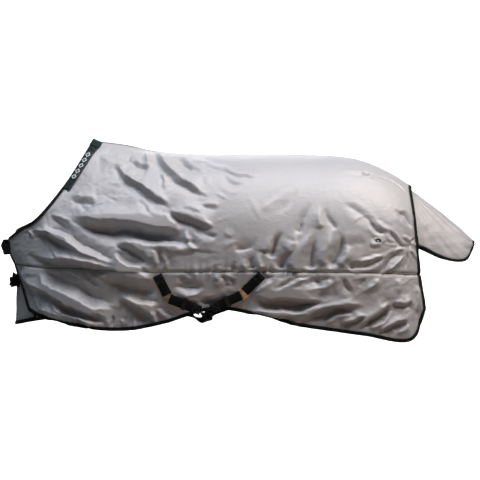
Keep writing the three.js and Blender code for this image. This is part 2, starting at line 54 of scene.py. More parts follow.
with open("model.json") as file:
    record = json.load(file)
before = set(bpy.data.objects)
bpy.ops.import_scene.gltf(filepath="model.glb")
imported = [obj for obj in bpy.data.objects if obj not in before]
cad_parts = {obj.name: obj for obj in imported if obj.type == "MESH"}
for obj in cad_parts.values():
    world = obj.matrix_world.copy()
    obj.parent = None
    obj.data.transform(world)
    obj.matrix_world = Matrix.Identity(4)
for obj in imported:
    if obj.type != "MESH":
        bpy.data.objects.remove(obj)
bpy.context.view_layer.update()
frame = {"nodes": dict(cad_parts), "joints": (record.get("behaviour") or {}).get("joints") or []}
MM = 0.001
CM = 0.01


# --- The rug's pattern
# Pattern lines in millimetres as (length, half width, height). They are the lines of the frame's panels.
SHARED = {
    "neck": [(-840, 165, -281), (-715, 118, -130), (-594, 0, 64)],
    "spine": [
        (-594, 0, 64), (-448, 0, 44), (-330, 0, 18), (-100, 0, 1), (250, 0, 3), (555, 0, -18), (703, 0, -78),
        (787, 0, -130),
    ],
    "widest": [
        (-817, 178, -395), (-690, 240, -390), (-537, 262, -390), (-317, 285, -395), (-18, 305, -400),
        (309, 305, -400), (584, 285, -400), (729, 247, -400), (802, 195, -390),
    ],
    "seam": [
        (-798, 189, -488), (-689, 243, -491), (-537, 264, -498), (-317, 284, -502), (-18, 303, -503),
        (309, 303, -503), (584, 285, -506), (729, 250, -513), (811, 205, -518),
    ],
    "hem": [
        (-752, 215, -712), (-618, 240, -738), (-459, 255, -745), (-304, 266, -718), (-66, 274, -655),
        (288, 280, -727), (570, 268, -768), (775, 238, -790), (835, 213, -666),
    ],
}
LEFT_FRONT = {
    "neck": [(-970, -20, -370), (-917, 95, -330)],
    "widest": [(-961, -5, -430), (-911, 115, -410)],
    "seam": [(-941, 22, -472), (-898, 128, -478)],
    "hem": [(-874, 135, -665), (-820, 185, -695)],
}
RIGHT_FRONT = {
    "neck": [(-925, -58, -351), (-936, 75, -335)],
    "widest": [(-921, -70, -425), (-936, 75, -408)],
    "seam": [(-908, -75, -470), (-934, 85, -478)],
    "hem": [(-852, -112, -706), (-941, 45, -730)],
}
# where the neckline meets the spine, as a share of the way from the front edge to the rear edge
WITHERS = 0.4
V_WIDEST = 0.55
V_SEAM = 0.7
FABRIC = 2.4 * MM


def smooth(low, high, x):
    """0 below low, 1 above high, and a smooth step between them."""
    t = np.clip((np.asarray(x, float) - low) / (high - low), 0, 1)
    return t * t * (3 - 2 * t)


def mix(a, b, t):
    return a + (b - a) * t


def spline(points, scale=MM):
    """A centripetal Catmull-Rom curve through the points, as a function of 0..1."""
    pts = np.array(points, float) * scale
    pts = np.vstack([2 * pts[0] - pts[1], pts, 2 * pts[-1] - pts[-2]])
    last = len(pts) - 4

    def curve(t):
        t = np.clip(np.asarray(t, float), 0, 1) * (last + 1)
        i = np.minimum(t.astype(int), last)
        w = (t - i)[..., None]
        p0, p1, p2, p3 = (pts[i + k] for k in range(4))
        d0, d1, d2 = (np.maximum(np.sum((b - a) ** 2, -1, keepdims=True) ** 0.25, 1e-9)
                      for a, b in ((p0, p1), (p1, p2), (p2, p3)))
        t1 = ((p1 - p0) / d0 - (p2 - p0) / (d0 + d1) + (p2 - p1) / d1) * d1
        t2 = ((p2 - p1) / d1 - (p3 - p1) / (d1 + d2) + (p3 - p2) / d2) * d1
        return p1 + t1 * w + (3 * (p2 - p1) - 2 * t1 - t2) * w**2 + (2 * (p1 - p2) + t1 + t2) * w**3

    return curve


def soft_min(a, b, blend=0.12):
    """The smaller of the two, with the corner where they meet rounded off."""
    return (a + b - np.sqrt((a - b) ** 2 + blend**2)) / 2


def unit(v):
    return v / np.maximum(np.linalg.norm(v, axis=-1, keepdims=True), 1e-12)


# --- Folds
def lattice(ix, iy, seed):
    """A repeatable pseudo-random angle for each lattice point."""
    h = (ix * 374761393 + iy * 668265263 + seed * 2147483647) & 0xFFFFFFFF
    h = ((h ^ (h >> 13)) * 1274126177) & 0xFFFFFFFF
    return ((h ^ (h >> 16)) & 0xFFFF) * (2 * math.pi / 0xFFFF)


def gradient_noise(x, y, seed=0):
    """Smooth noise between about -1 and 1 over the plane."""
    x, y = np.broadcast_arrays(np.asarray(x, float), np.asarray(y, float))
    ix, iy = np.floor(x).astype(np.int64), np.floor(y).astype(np.int64)
    fx, fy = x - ix, y - iy
    u, v = fx**3 * (fx * (fx * 6 - 15) + 10), fy**3 * (fy * (fy * 6 - 15) + 10)
    corner = []
    for dx in (0, 1):
        for dy in (0, 1):
            a = lattice(ix + dx, iy + dy, seed)
            corner.append(np.cos(a) * (fx - dx) + np.sin(a) * (fy - dy))
    return 1.5 * mix(mix(corner[0], corner[1], v), mix(corner[2], corner[3], v), u)


# Creases that are seen from the side, in centimetres: points (along the rug, up) to the nearest half, half width,
# height and shape.
# A ridge stands out along its line, or sinks in if its height is negative. A band stands out on its left-hand
# side, as its points run, and sinks in on the other, so the cloth between them hangs over, or leans back.
# A pleat starts from nothing and deepens along its line, with its steeper side on the left as its points run.
CREASES = [
    # deep bands under the withers and over the shoulder
    ([(-70, -27.5), (-57, -29.5), (-43.5, -30.5), (-30, -32), (-18.5, -33.5)], 2.3, 3.5, "band"),
    ([(-50, -4), (-47, -9), (-41, -12.5), (-36, -16), (-31, -19), (-25, -22)], 1.3, 1.5, "band"),
    ([(-34.5, 2.5), (-29.5, -3), (-23.5, -10), (-16, -14.5), (-8.5, -18)], 1.2, 1, "band"),
    ([(-26.5, -23.5), (-20, -26.5), (-14, -29.5), (-7, -32)], 1.5, 1.8, "band"),
    ([(-69, -18), (-63, -19.5), (-57, -20.5)], 1.3, 0.6, "band"),
    ([(-86.5, -32), (-80, -34), (-73.5, -37), (-66.5, -42)], 1.5, 2, "band"),
    ([(-87.5, -44.5), (-76.5, -45.5), (-68, -46.5), (-59, -48.5), (-49.5, -50)], 1.5, 2, "band"),
    ([(-50.5, -37.5), (-43, -39.5), (-37.5, -42.5), (-34.5, -48.5)], 1.4, 1.8, "band"),
    ([(-87.5, -32), (-85.5, -36.5)], 0.5, 0.6, "band"),
    ([(-12, -21.5), (-5, -22.5)], 0.8, 0.4, "band"),
    ([(-23.5, -0.5), (-17, -4), (-11, -8)], 1, 0.6, "band"),
    ([(-43, -2.5), (-38, -4.5), (-34.5, -5.5)], 1, 0.6, "band"),
    ([(-78, -25.5), (-72, -28.5), (-69, -29.5)], 1, 0.6, "band"),
    ([(-18, -37), (-14, -40.5)], 1, -0.8, "band"),
    # bands that lean back and face up
    ([(-48, -36), (-37, -37), (-25.5, -38), (-15.5, -40.5)], 1.6, -1.6, "band"),
    ([(-81, -30.5), (-74.5, -33.5), (-68, -37), (-59, -42), (-47, -47.5)], 1.5, -1.8, "band"),
    ([(-49.5, -41.5), (-45, -46.5), (-36.5, -47)], 1.3, -1.4, "band"),
    ([(-57.5, 0.5), (-49.5, -2), (-43, -3.5)], 1.8, -0.6, "band"),
    # lower front
    ([(-56, -51), (-47, -53), (-37, -55.5), (-29.5, -58.5)], 3, 2.9, "band"),
    ([(-82.5, -50), (-77.5, -55), (-70, -59), (-60, -63.5), (-49, -66)], 2.6, -2.9, "band"),
    ([(-90.5, -54), (-83.5, -58.5), (-77, -60), (-73, -63.5), (-67.5, -66.5), (-59.5, -69), (-51.5, -72)],
     1.5, 2.3, "band"),
    ([(-92.5, -50), (-89.5, -55), (-85.5, -60.5)], 1.6, 1.2, "band"),
    ([(-78, -61), (-72, -67), (-63, -70), (-54, -73)], 1.2, -1.6, "band"),
    ([(-48.5, -61), (-43.5, -63.5), (-37, -67.5), (-32.5, -71)], 1.7, 2.3, "band"),
    ([(-47, -60), (-40, -63), (-29, -64.5)], 1.2, -1.6, "band"),
    ([(-69, -70.5), (-63, -72), (-59.5, -74)], 0.9, 1.1, "band"),
    ([(-84.5, -66.5), (-78, -69), (-70, -72)], 1.2, 1.1, "band"),
    ([(-23.5, -62), (-18, -63.5), (-13, -63)], 1.5, 1.4, "band"),
    ([(-25, -58.5), (-19, -59), (-11.5, -57)], 1.5, -1.3, "band"),
    ([(-14, -62), (-7, -62), (0, -60)], 1.3, 1.1, "band"),
    # short folds at the front hem and girth
    ([(-77, -40.5), (-72, -44.5), (-68.5, -48)], 0.8, 0.9, "ridge"),
    ([(-68, -70), (-67, -72), (-67.5, -74.5)], 0.6, 0.6, "ridge"),
    ([(-51, -69), (-50, -71.5), (-50.5, -74)], 0.7, -0.8, "ridge"),
    ([(-47.5, -70.5), (-46, -72.5), (-47, -74)], 0.6, 0.6, "ridge"),
    ([(-43.5, -70), (-42.5, -71.5), (-43, -73.5)], 0.6, -0.5, "ridge"),
    ([(-36, -67), (-33, -70), (-31.5, -72)], 0.8, 0.8, "ridge"),
    ([(-31.5, -66), (-29, -68.5), (-27, -70.5)], 0.8, 0.9, "ridge"),
    ([(-28, -66), (-25.5, -68.5), (-23.5, -70)], 0.7, -0.7, "ridge"),
    ([(-64, -50), (-59, -55), (-55, -58)], 1, -0.8, "ridge"),
    ([(-73.5, -50), (-69, -53), (-65.5, -54)], 0.9, -0.7, "ridge"),
    ([(-57.5, -51), (-52, -54), (-47, -54.5)], 1, 0.6, "ridge"),
    ([(-34, -40.5), (-33, -44.5), (-32, -49.5)], 0.9, 1, "ridge"),
    ([(-31, -40.5), (-30, -44.5), (-30, -49.5)], 0.8, -1, "ridge"),
    ([(-29, -43), (-28, -46.5), (-28, -49.5)], 0.8, 0.8, "ridge"),
    ([(-37.5, -48), (-36, -50), (-34, -50.5)], 0.8, -0.6, "ridge"),
    ([(-22, -52), (-19.5, -54.5), (-17, -55)], 1.2, -0.6, "ridge"),
    ([(-7, -51), (-5.5, -54.5), (-7, -58)], 0.9, 0.8, "ridge"),
    ([(-4, -52), (-1.5, -54.5), (-2, -58)], 0.8, -0.8, "ridge"),
    ([(-1.5, -51), (1, -53), (3, -52.5)], 0.7, 0.7, "ridge"),
    # shoulder to loin
    ([(-31.5, -0.5), (-27.5, -4.5), (-23, -7.5), (-19, -8.5)], 0.9, 0.7, "ridge"),
    ([(-18, -0.5), (-7, -5.5), (4, -8)], 0.9, 0.6, "ridge"),
    ([(-25.5, 0), (-21, -2.5), (-14, -9.5)], 1, -0.4, "ridge"),
    ([(-37, 2), (-36, -2), (-35, -5.5)], 1.4, 0.7, "ridge"),
    ([(-43, 1.5), (-43.5, -2.5), (-38, -4)], 1.3, -0.5, "ridge"),
    ([(-29.5, -7.5), (-28, -11.5), (-28.5, -15.5)], 1, 0.5, "ridge"),
    ([(-28, -24.5), (-27, -28.5), (-21, -30)], 1.2, 0.9, "ridge"),
    ([(-19, -31.5), (-19, -35), (-17.5, -38)], 0.8, 0.8, "ridge"),
    ([(-14, -31.5), (-9, -34.5), (-5.5, -35.5)], 1, -0.6, "ridge"),
    ([(-75.5, -27.5), (-71, -31.5), (-67, -34)], 1.1, -0.6, "ridge"),
    ([(-21, -21.5), (-16, -22.5), (-11, -26)], 1.4, 0.5, "ridge"),
    ([(-53.5, -13.5), (-45, -11.5), (-40, -16.5)], 1.5, 0.5, "ridge"),
    # barrel, fanning out from the loin
    ([(-4.5, -4), (3, -8), (13.5, -9)], 0.9, 0.6, "ridge"),
    ([(-4.5, -8), (0.5, -12), (6.5, -13)], 1.1, -0.5, "ridge"),
    ([(29.5, -15), (26.5, -19.5), (19.5, -25)], 1.2, -0.2, "ridge"),
    ([(27.5, -13), (19.5, -20), (11.5, -24.5)], 1.4, 0.2, "ridge"),
    ([(35, -19), (33, -26), (30, -34)], 0.9, -1.2, "pleat"),
    ([(39, -19.5), (38, -25), (39, -31.5)], 1.1, 0.8, "pleat"),
    ([(42, -19.5), (42, -26), (45.5, -31.5)], 1.2, -0.7, "pleat"),
    ([(23.5, -32.5), (20.5, -36.5), (17.5, -44.5)], 1.2, -2.2, "pleat"),
    ([(20, -31.5), (17.5, -37.5), (16, -42)], 1.2, 1.4, "pleat"),
    ([(35.5, -31.5), (31.5, -40.5), (26.5, -49.5)], 1.5, 2.7, "pleat"),
    ([(37, -34), (36.5, -40.5), (35, -49)], 1.2, -1.9, "pleat"),
    ([(27.5, -31.5), (28, -37.5), (25, -42)], 1.3, 1.2, "pleat"),
    ([(26, -41), (24.5, -44.5), (21, -49)], 1.3, -1.7, "pleat"),
    ([(42, -31.5), (43, -38), (39.5, -47.5)], 1.3, 1.4, "pleat"),
    ([(46, -31.5), (49, -36.5), (48, -42), (43, -48.5)], 1.3, -2.2, "pleat"),
    ([(50.5, -34.5), (51, -42), (47.5, -48.5)], 1.4, 1.4, "pleat"),
    ([(15, -41), (13, -44.5), (14.5, -49)], 0.9, 1.2, "pleat"),
    ([(12, -42), (9.5, -45.5), (10, -49)], 0.9, -1.4, "pleat"),
    ([(7, -44.5), (5.5, -47), (7, -49.5)], 0.8, 1, "pleat"),
    ([(3.5, -46), (2, -48), (3, -49.5)], 0.7, -1, "pleat"),
    ([(12, -34.5), (9.5, -39), (2, -42)], 1.6, -0.8, "pleat"),
    ([(56, -44.5), (53.5, -47.5), (52.5, -49.5)], 0.9, -1, "pleat"),
    # rump and hip
    ([(60, -28.5), (64, -32.5), (68, -35)], 0.8, -0.8, "ridge"),
    ([(62.5, -27.5), (67, -31.5), (70, -34)], 0.8, 0.5, "ridge"),
    ([(68, -32), (72, -36.5), (74.5, -39.5)], 0.8, -0.9, "ridge"),
    ([(71.5, -23), (76.5, -27.5), (80, -32)], 1.1, -0.7, "ridge"),
    ([(74, -34.5), (77, -36.5), (79.5, -37.5)], 0.6, 0.5, "ridge"),
    ([(49, -20.5), (57, -26), (65, -32.5)], 1.4, -0.4, "ridge"),
    ([(57, -7.5), (60, -8.5), (62.5, -8)], 0.6, -0.9, "ridge"),
    ([(50, -6.5), (55, -7), (58.5, -7.5)], 0.8, 0.4, "ridge"),
    ([(62.5, -8.5), (71.5, -12), (78.5, -17)], 0.4, -0.3, "ridge"),
    ([(66.5, -37.5), (72, -38.5), (77.5, -41)], 0.4, -0.4, "ridge"),
    ([(74.5, -42.5), (69.5, -45), (67, -48.5), (64.5, -50.5)], 0.8, -1.1, "ridge"),
    ([(75.5, -43.5), (71.5, -47), (68.5, -50)], 0.8, 0.8, "ridge"),
    ([(68, -44.5), (59, -47.5), (50, -49.5)], 1, -0.8, "ridge"),
    ([(68, -43), (60.5, -44.5), (55, -46)], 1, 0.5, "ridge"),
    ([(77.5, -41), (79, -38), (80.5, -35.5)], 0.5, -0.5, "ridge"),
    ([(77.5, -41.5), (79.5, -43), (81, -45.5)], 0.5, 0.5, "ridge"),
    ([(77, -42), (77, -45.5), (76, -49)], 0.5, -0.5, "ridge"),
    ([(75.5, -42), (73.5, -41), (71.5, -42)], 0.5, 0.5, "ridge"),
    ([(59.5, -37.5), (62, -38), (66.5, -39)], 0.8, 0.5, "ridge"),
    ([(46, -37.5), (53.5, -38), (59, -37.5)], 2, -0.4, "ridge"),
    # lower rear, as bands
    ([(9.5, -61), (19.5, -62.5), (29, -62.5), (40.5, -64)], 1.9, 2.3, "band"),
    ([(12, -66.5), (26, -67), (40.5, -64.5)], 1.3, -1.7, "band"),
    ([(7, -68), (19.5, -69.5), (29.5, -70)], 1.3, 1.4, "band"),
    ([(29.5, -71.5), (39, -68), (47.5, -66), (58.5, -65)], 1.5, 1.6, "band"),
    ([(39.5, -73), (46, -69), (53.5, -68)], 1, -1.1, "band"),
    ([(47.5, -73.5), (53.5, -71.5), (58.5, -69.5)], 0.9, 1.1, "band"),
    ([(55.5, -75.5), (62.5, -69.5), (70.5, -63.5)], 1.3, 1.8, "band"),
    ([(59, -75.5), (65, -71.5), (70.5, -66)], 1, -1.3, "band"),
    ([(70.5, -63.5), (74.5, -65), (79, -62.5)], 1.1, 1.1, "band"),
    ([(65, -77), (70, -73.5), (76.5, -71.5)], 0.9, 1.2, "band"),
    ([(71.5, -77), (74.5, -75), (76.5, -73)], 0.7, -0.7, "band"),
    ([(8.5, -59), (13.5, -56), (19.5, -52.5)], 1.2, -1.1, "band"),
    ([(31.5, -57.5), (39, -55.5), (44.5, -52.5)], 1.5, -0.7, "band"),
    # lower rear, scallops under the seam
    ([(35.5, -52.5), (28, -54.5), (23, -58), (19, -61)], 0.8, 1, "ridge"),
    ([(29.5, -53.5), (24.5, -56), (21, -57.5)], 0.9, -0.9, "ridge"),
    ([(36, -52.5), (38, -55.5), (37.5, -57.5)], 0.9, -0.6, "ridge"),
    ([(43.5, -52.5), (42, -56), (38, -60)], 1.1, 0.7, "ridge"),
    ([(48.5, -53), (50.5, -57), (53, -60)], 1, -0.8, "ridge"),
    ([(65, -52.5), (62, -56), (57.5, -59.5)], 1.2, 0.8, "ridge"),
    ([(58.5, -52.5), (57, -55.5), (55.5, -57)], 0.9, -0.6, "ridge"),
    ([(71.5, -53.5), (73, -56), (72, -60.5)], 1.5, 0.5, "ridge"),
    ([(46, -52.5), (45.5, -56), (46, -60.5)], 1, 0.5, "ridge"),
    ([(81, -56), (81.5, -62.5), (81, -69)], 1.6, 0.5, "ridge"),
    ([(-0.5, -52), (1.5, -55), (0, -57.5)], 0.8, -0.8, "ridge"),
    ([(3.5, -54), (5.5, -56), (6.5, -53.5)], 0.7, 0.6, "ridge"),
]


class Fold:
    """One crease, sampled along its curve."""

    STEPS = 14

    def __init__(self, points, half_width, height, kind="ridge", shift=(0.0, 0.0), turn=0.0):
        self.kind = kind
        flat = np.array(points, float) * CM
        middle = flat.mean(axis=0)
        c, s = math.cos(turn), math.sin(turn)
        flat = (flat - middle) @ np.array([[c, s], [-s, c]]) + middle + np.array(shift)
        self.line = spline(flat, 1)(np.linspace(0, 1, self.STEPS))
        self.width = half_width * CM
        self.height = height * CM
        reach = 4.2 * self.width
        self.low = self.line.min(axis=0) - reach
        self.high = self.line.max(axis=0) + reach

    def add_to(self, total, x, z):
        near = (x > self.low[0]) & (x < self.high[0]) & (z > self.low[1]) & (z < self.high[1])
        if not near.any():
            return
        px, pz = x[near], z[near]
        best = np.full(px.shape, np.inf)
        along = np.zeros(px.shape)
        side = np.zeros(px.shape)
        for k in range(self.STEPS - 1):
            a, b = self.line[k], self.line[k + 1]
            d = b - a
            t = np.clip(((px - a[0]) * d[0] + (pz - a[1]) * d[1]) / max(d @ d, 1e-12), 0, 1)
            ox, oz = px - a[0] - t * d[0], pz - a[1] - t * d[1]
            distance = np.hypot(ox, oz)
            closer = distance < best
            best = np.where(closer, distance, best)
            along = np.where(closer, (k + t) / (self.STEPS - 1), along)
            side = np.where(closer, np.sign(d[0] * oz - d[1] * ox), side)
        taper = smooth(0, 0.3, along) * smooth(1, 0.7, along)
        if self.kind == "pleat":
            taper = smooth(0, 0.8, along) * smooth(1.0, 0.9, along)
        q = best / (self.width * (0.55 + 0.45 * taper))
        if self.kind == "band":
            shape = side * soft_min(q, np.exp((1 - q) / 1.4))
        elif self.kind == "pleat":
            q = q / np.where(side > 0, 0.7, 1.7)
            shape = np.exp(-1.3 * (np.sqrt(q * q + 0.04) - 0.2))
        else:
            # cloth hangs over its creases, so the lower side of each one is the steeper
            q = q / np.where(side * self.height > 0, 1.25, 0.8)
            shape = np.exp(-1.5 * (np.sqrt(q * q + 0.05) - 0.22)) - 0.25 * np.exp(-(((q - 2.3) / 0.9) ** 2))
        total[near] += self.height * taper * shape


def small_folds(seed):
    """Scattered short creases, which follow the pull of the cloth where they lie."""
    rng = np.random.default_rng(seed)
    folds = []
    for _ in range(150):
        x, z = rng.uniform(-92, 80), rng.uniform(-78, -4)
        # fewer on the smooth barrel and rump
        calm = math.exp(-(((x - 18) / 22) ** 2) - (((z + 22) / 22) ** 2))
        calm = calm + (0.75 if x > 42 and z > -50 else 0)
        if rng.uniform() < calm:
            continue
        if z < -52:
            lean = math.radians(rng.normal(38 if x > -20 else -32, 22))
        elif x < -20:
            lean = math.radians(rng.normal(-24, 20))
        else:
            lean = math.radians(rng.normal(10, 45))
        half = rng.uniform(2.2, 7.5)
        bow = rng.normal(0, 0.16) * half
        cx, sx = math.cos(lean), math.sin(lean)
        points = [
            (x - half * cx, z - half * sx),
            (x - bow * sx, z + bow * cx),
            (x + half * cx, z + half * sx),
        ]
        width = rng.uniform(0.45, 1.05)
        height = rng.choice((-1, 1)) * width * rng.uniform(0.12, 0.34)
        folds.append(Fold(points, width, height))
    return folds


# Where straps hold the left flank in, in centimetres: centre (along the rug, up) and radius.
STRAPS_LIE = [((-31, -55), 6.5), ((-24, -64), 7.0), ((5, -55), 6.5), ((-4, -62), 7.0), ((-14, -68), 7.0)]


class Side:
    """One side of the rug: u runs from the front edge to the rear, v from neckline or spine to hem."""

    def __init__(self, name, sign, front, seed):
        self.name, self.sign, self.seed = name, sign, seed
        line = {key: spline(front[key] + SHARED[key]) for key in SHARED if key not in ("spine", "neck")}
        # the neckline carries on down the other side, so it crosses the spine squarely
        x, y, z = SHARED["neck"][1]
        neck = front["neck"] + SHARED["neck"] + [(x, -y, z)]
        whole_neck = spline(neck)
        share = (len(neck) - 2) / (len(neck) - 1)
        line["neck"] = lambda t: whole_neck(np.clip(t, 0, 1) * share)
        self.line = line
        self.spine = spline(SHARED["spine"])
        shift = (0.0, 0.0) if sign < 0 else (0.03, -0.01)
        turn = 0.0 if sign < 0 else 0.06
        self.folds = [Fold(*c, shift=shift, turn=turn) for c in CREASES] + small_folds(seed)
        self.depth = 1.0

    def top(self, u):
        u = np.clip(u, 0, 1)
        on_neck = (u < WITHERS)[..., None]
        return np.where(on_neck, self.line["neck"](u / WITHERS), self.spine((u - WITHERS) / (1 - WITHERS)))

    def base(self, u, v):
        u, v = np.broadcast_arrays(np.asarray(u, float), np.asarray(v, float))
        widest, seam, hem = (self.line[k](u) for k in ("widest", "seam", "hem"))
        # below its top edge, the cloth rounds off the corner where the neckline meets the spine
        spread = 0.04 * smooth(0, 0.2, v)
        weights = ((-1, 0.1), (-0.5, 0.2), (0, 0.4), (0.5, 0.2), (1, 0.1))
        top = sum(w * self.top(u + k * spread) for k, w in weights)
        a = np.clip(v / V_WIDEST, 0, 1)
        angle = a * math.pi / 2
        roundness = mix(0.3, 1, smooth(0.3, 0.65, u))
        out = mix(a, np.sin(angle), roundness)
        down = mix(a, 1 - np.cos(angle), roundness)
        upper = mix(top, widest, np.stack([down, out, down], -1))
        middle = mix(widest, seam, np.clip((v - V_WIDEST) / (V_SEAM - V_WIDEST), 0, 1)[..., None])
        lower = mix(seam, hem, np.clip((v - V_SEAM) / (1 - V_SEAM), 0, 1)[..., None])
        vv = v[..., None]
        p = np.where(vv <= V_WIDEST, upper, np.where(vv <= V_SEAM, middle, lower))
        return p * np.array([1, self.sign, 1])

    def base_normal(self, u, v):
        u, v = np.broadcast_arrays(np.asarray(u, float), np.asarray(v, float))
        d = 0.006
        along = self.base(np.minimum(u + d, 1), v) - self.base(np.maximum(u - d, 0), v)
        across = self.base(u, np.minimum(v + d, 1)) - self.base(u, np.maximum(v - d, 0))
        return unit(np.cross(along, across)) * self.sign

    def displacement(self, u, v, p):
        """How far the cloth stands out from the frame's surface."""
        x, z = p[..., 0] + 0.035 * np.abs(p[..., 1]), p[..., 2]
        x, z = x.ravel(), z.ravel()
        u, v = (np.broadcast_to(w, p.shape[:-1]).ravel() for w in (u, v))
        wx = x + 0.010 * gradient_noise(x / 0.09, z / 0.09, self.seed + 1)
        wz = z + 0.010 * gradient_noise(x / 0.09, z / 0.09, self.seed + 2)
        wx += 0.003 * gradient_noise(x / 0.025, z / 0.025, self.seed + 10)
        wz += 0.003 * gradient_noise(x / 0.025, z / 0.025, self.seed + 11)
        total = np.zeros_like(x)
        for fold in self.folds:
            fold.add_to(total, wx, wz)
        total *= self.depth
        # gathers where the flank panel is eased on to the side panel
        gathered = smooth(-0.24, -0.14, x) * smooth(0.36, 0.26, x)
        phase = x / 0.038 + 0.9 * gradient_noise(x / 0.05, z / 0.4, self.seed + 3)
        from_seam = np.abs(v - V_SEAM)
        reach = 0.055 + 0.03 * gradient_noise(x / 0.06, 0, self.seed + 4)
        wave = 1 - 2 * np.abs(np.sin(math.pi * phase))
        total += 0.0055 * gathered * wave * np.exp(-((from_seam / reach) ** 2))
        # the hem hangs in soft flutes
        hang = smooth(V_SEAM, 1, v)
        total += 0.010 * hang * gradient_noise(u * 15, v * 1.2, self.seed + 5)
        total += 0.004 * hang * gradient_noise(u * 34, v * 2, self.seed + 6)
        # broad unevenness, and a crumple that is finer where the cloth is slack
        slack = 0.3 + 0.7 * np.maximum(smooth(0.05, -0.25, x), smooth(-0.42, -0.56, z))
        total += 0.006 * slack * gradient_noise(x / 0.16, z / 0.12, self.seed + 7)
        lean = x * 0.8 + z * 0.6
        across = -x * 0.6 + z * 0.8
        ridged = 1 - 2 * np.abs(gradient_noise(lean / 0.075, across / 0.032, self.seed + 8))
        total += 0.0009 * slack * ridged
        total += 0.0005 * (0.35 + slack) * gradient_noise(x / 0.021, z / 0.017, self.seed + 9)
        # seams hold the cloth in
        total -= 0.007 * np.exp(-((from_seam / 0.011) ** 2))
        for (sx, sz), radius in STRAPS_LIE if self.sign < 0 else ():
            near = np.exp(-(((x - sx * CM) ** 2 + (z - sz * CM) ** 2) / (radius * CM) ** 2))
            total = mix(total, np.minimum(total, -0.0025), near)
        # it lies still at the spine, at the neck patches and where one front laps over the other
        calm = smooth(0, 0.05, v) * np.where(u < WITHERS, smooth(-0.02, 0.06, v), 1)
        calm = calm * mix(0.12, 1, smooth(0.0, 0.07, u) if self.sign < 0 else smooth(0.02, 0.17, u))
        total = total * calm
        room = mix(0.03, 0.014, smooth(-0.55, -0.2, x))
        return np.clip(total, -0.06, room).reshape(p.shape[:-1])

    def point(self, u, v, height=0.0):
        p = self.base(u, v)
        n = self.base_normal(u, v)
        return p + n * (self.displacement(u, v, p) + FABRIC / 2 + height)[..., None]

    def frames(self, u, v, height=0.0):
        """Points on the cloth, and the directions out of it, at paired u and v."""
        u, v = np.asarray(u, float), np.asarray(v, float)
        d = 0.002
        u0, u1, v0, v1 = (np.clip(w, 0, 1) for w in (u - d, u + d, v - d, v + d))
        along = self.point(u1, v) - self.point(u0, v)
        across = self.point(u, v1) - self.point(u, v0)
        n = unit(np.cross(along, across)) * self.sign
        return self.point(u, v) + n * height, n


LEFT = Side("left", -1, LEFT_FRONT, 11)
RIGHT = Side("right", 1, RIGHT_FRONT, 47)
SIDES = (LEFT, RIGHT)


# The tail flap, from its root under the rear edge to its tip.
FLAP_RIDGE = [(790, 0, -143), (842, 0, -181), (936, 0, -252), (1020, 0, -322), (1072, 0, -372)]
FLAP_EDGE = [(795, 158, -376), (868, 138, -414), (957, 108, -452), (1030, 78, -452), (1068, 26, -400)]


class Flap:
    """The tail flap: u runs from root to tip, and v from its left edge to its right edge."""

    name = "tail_flap"
    ridge = staticmethod(spline(FLAP_RIDGE))
    edge = staticmethod(spline(FLAP_EDGE))

    def base(self, u, v):
        u, v = np.broadcast_arrays(np.asarray(u, float), np.asarray(v, float))
        a = 2 * v - 1
        angle = np.abs(a) * math.pi / 2
        r, e = self.ridge(u), self.edge(u)
        out = mix(np.abs(a), np.sin(angle), 0.8)
        down = mix(np.abs(a), 1 - np.cos(angle), 0.8)
        y = np.sign(a) * e[..., 1] * out
        return np.stack([mix(r[..., 0], e[..., 0], down), y, mix(r[..., 2], e[..., 2], down)], -1)

    def base_normal(self, u, v):
        d = 0.008
        u, v = np.broadcast_arrays(np.asarray(u, float), np.asarray(v, float))
        along = self.base(np.minimum(u + d, 1), v) - self.base(np.maximum(u - d, 0), v)
        across = self.base(u, np.minimum(v + d, 1)) - self.base(u, np.maximum(v - d, 0))
        return unit(np.cross(along, across))

    def point(self, u, v, height=0.0):
        p = self.base(u, v)
        u, v = np.broadcast_arrays(np.asarray(u, float), np.asarray(v, float))
        a = np.abs(2 * v - 1)
        fan = np.arctan2(a, u + 0.25) * 9
        d = 0.003 * gradient_noise(fan, u * 1.3 + np.sign(v - 0.5), 91) * smooth(0.05, 0.35, a)
        d += 0.0012 * gradient_noise(p[..., 0] / 0.05, p[..., 2] / 0.035, 92)
        d += 0.0003 * gradient_noise(p[..., 0] / 0.018, p[..., 2] / 0.016, 93)
        d *= smooth(0, 0.2, u)
        return p + self.base_normal(u, v) * (d - FABRIC / 2 + height)[..., None]

    def frames(self, u, v, height=0.0):
        u, v = np.asarray(u, float), np.asarray(v, float)
        d = 0.004
        u0, u1, v0, v1 = (np.clip(w, 0, 1) for w in (u - d, u + d, v - d, v + d))
        n = unit(np.cross(self.point(u1, v) - self.point(u0, v), self.point(u, v1) - self.point(u, v0)))
        return self.point(u, v) + n * height, n


FLAP = Flap()


# --- Meshes
def new_object(name, vertices, faces, material, uvs=None):
    """A smooth-shaded mesh object. uvs are per vertex, in metres of cloth."""
    mesh = bpy.data.meshes.new(name)
    if isinstance(faces, np.ndarray):
        faces = faces.tolist()
    mesh.from_pydata(np.asarray(vertices).tolist(), [], faces)
    mesh.polygons.foreach_set("use_smooth", np.ones(len(mesh.polygons), bool))
    if uvs is not None:
        loops = np.empty(len(mesh.loops), np.int64)
        mesh.loops.foreach_get("vertex_index", loops)
        layer = mesh.uv_layers.new(name="UVMap")
        layer.data.foreach_set("uv", np.asarray(uvs, np.float32)[loops].ravel())
    mesh.materials.append(material)
    mesh.update()
    made = bpy.data.objects.new(name, mesh)
    bpy.context.scene.collection.objects.link(made)
    return made


def grid_faces(rows, columns, first=0, flip=False):
    i, j = np.meshgrid(np.arange(rows - 1), np.arange(columns - 1), indexing="ij")
    a = first + i * columns + j
    faces = np.stack([a, a + columns, a + columns + 1, a + 1], -1).reshape(-1, 4)
    return faces[:, ::-1] if flip else faces


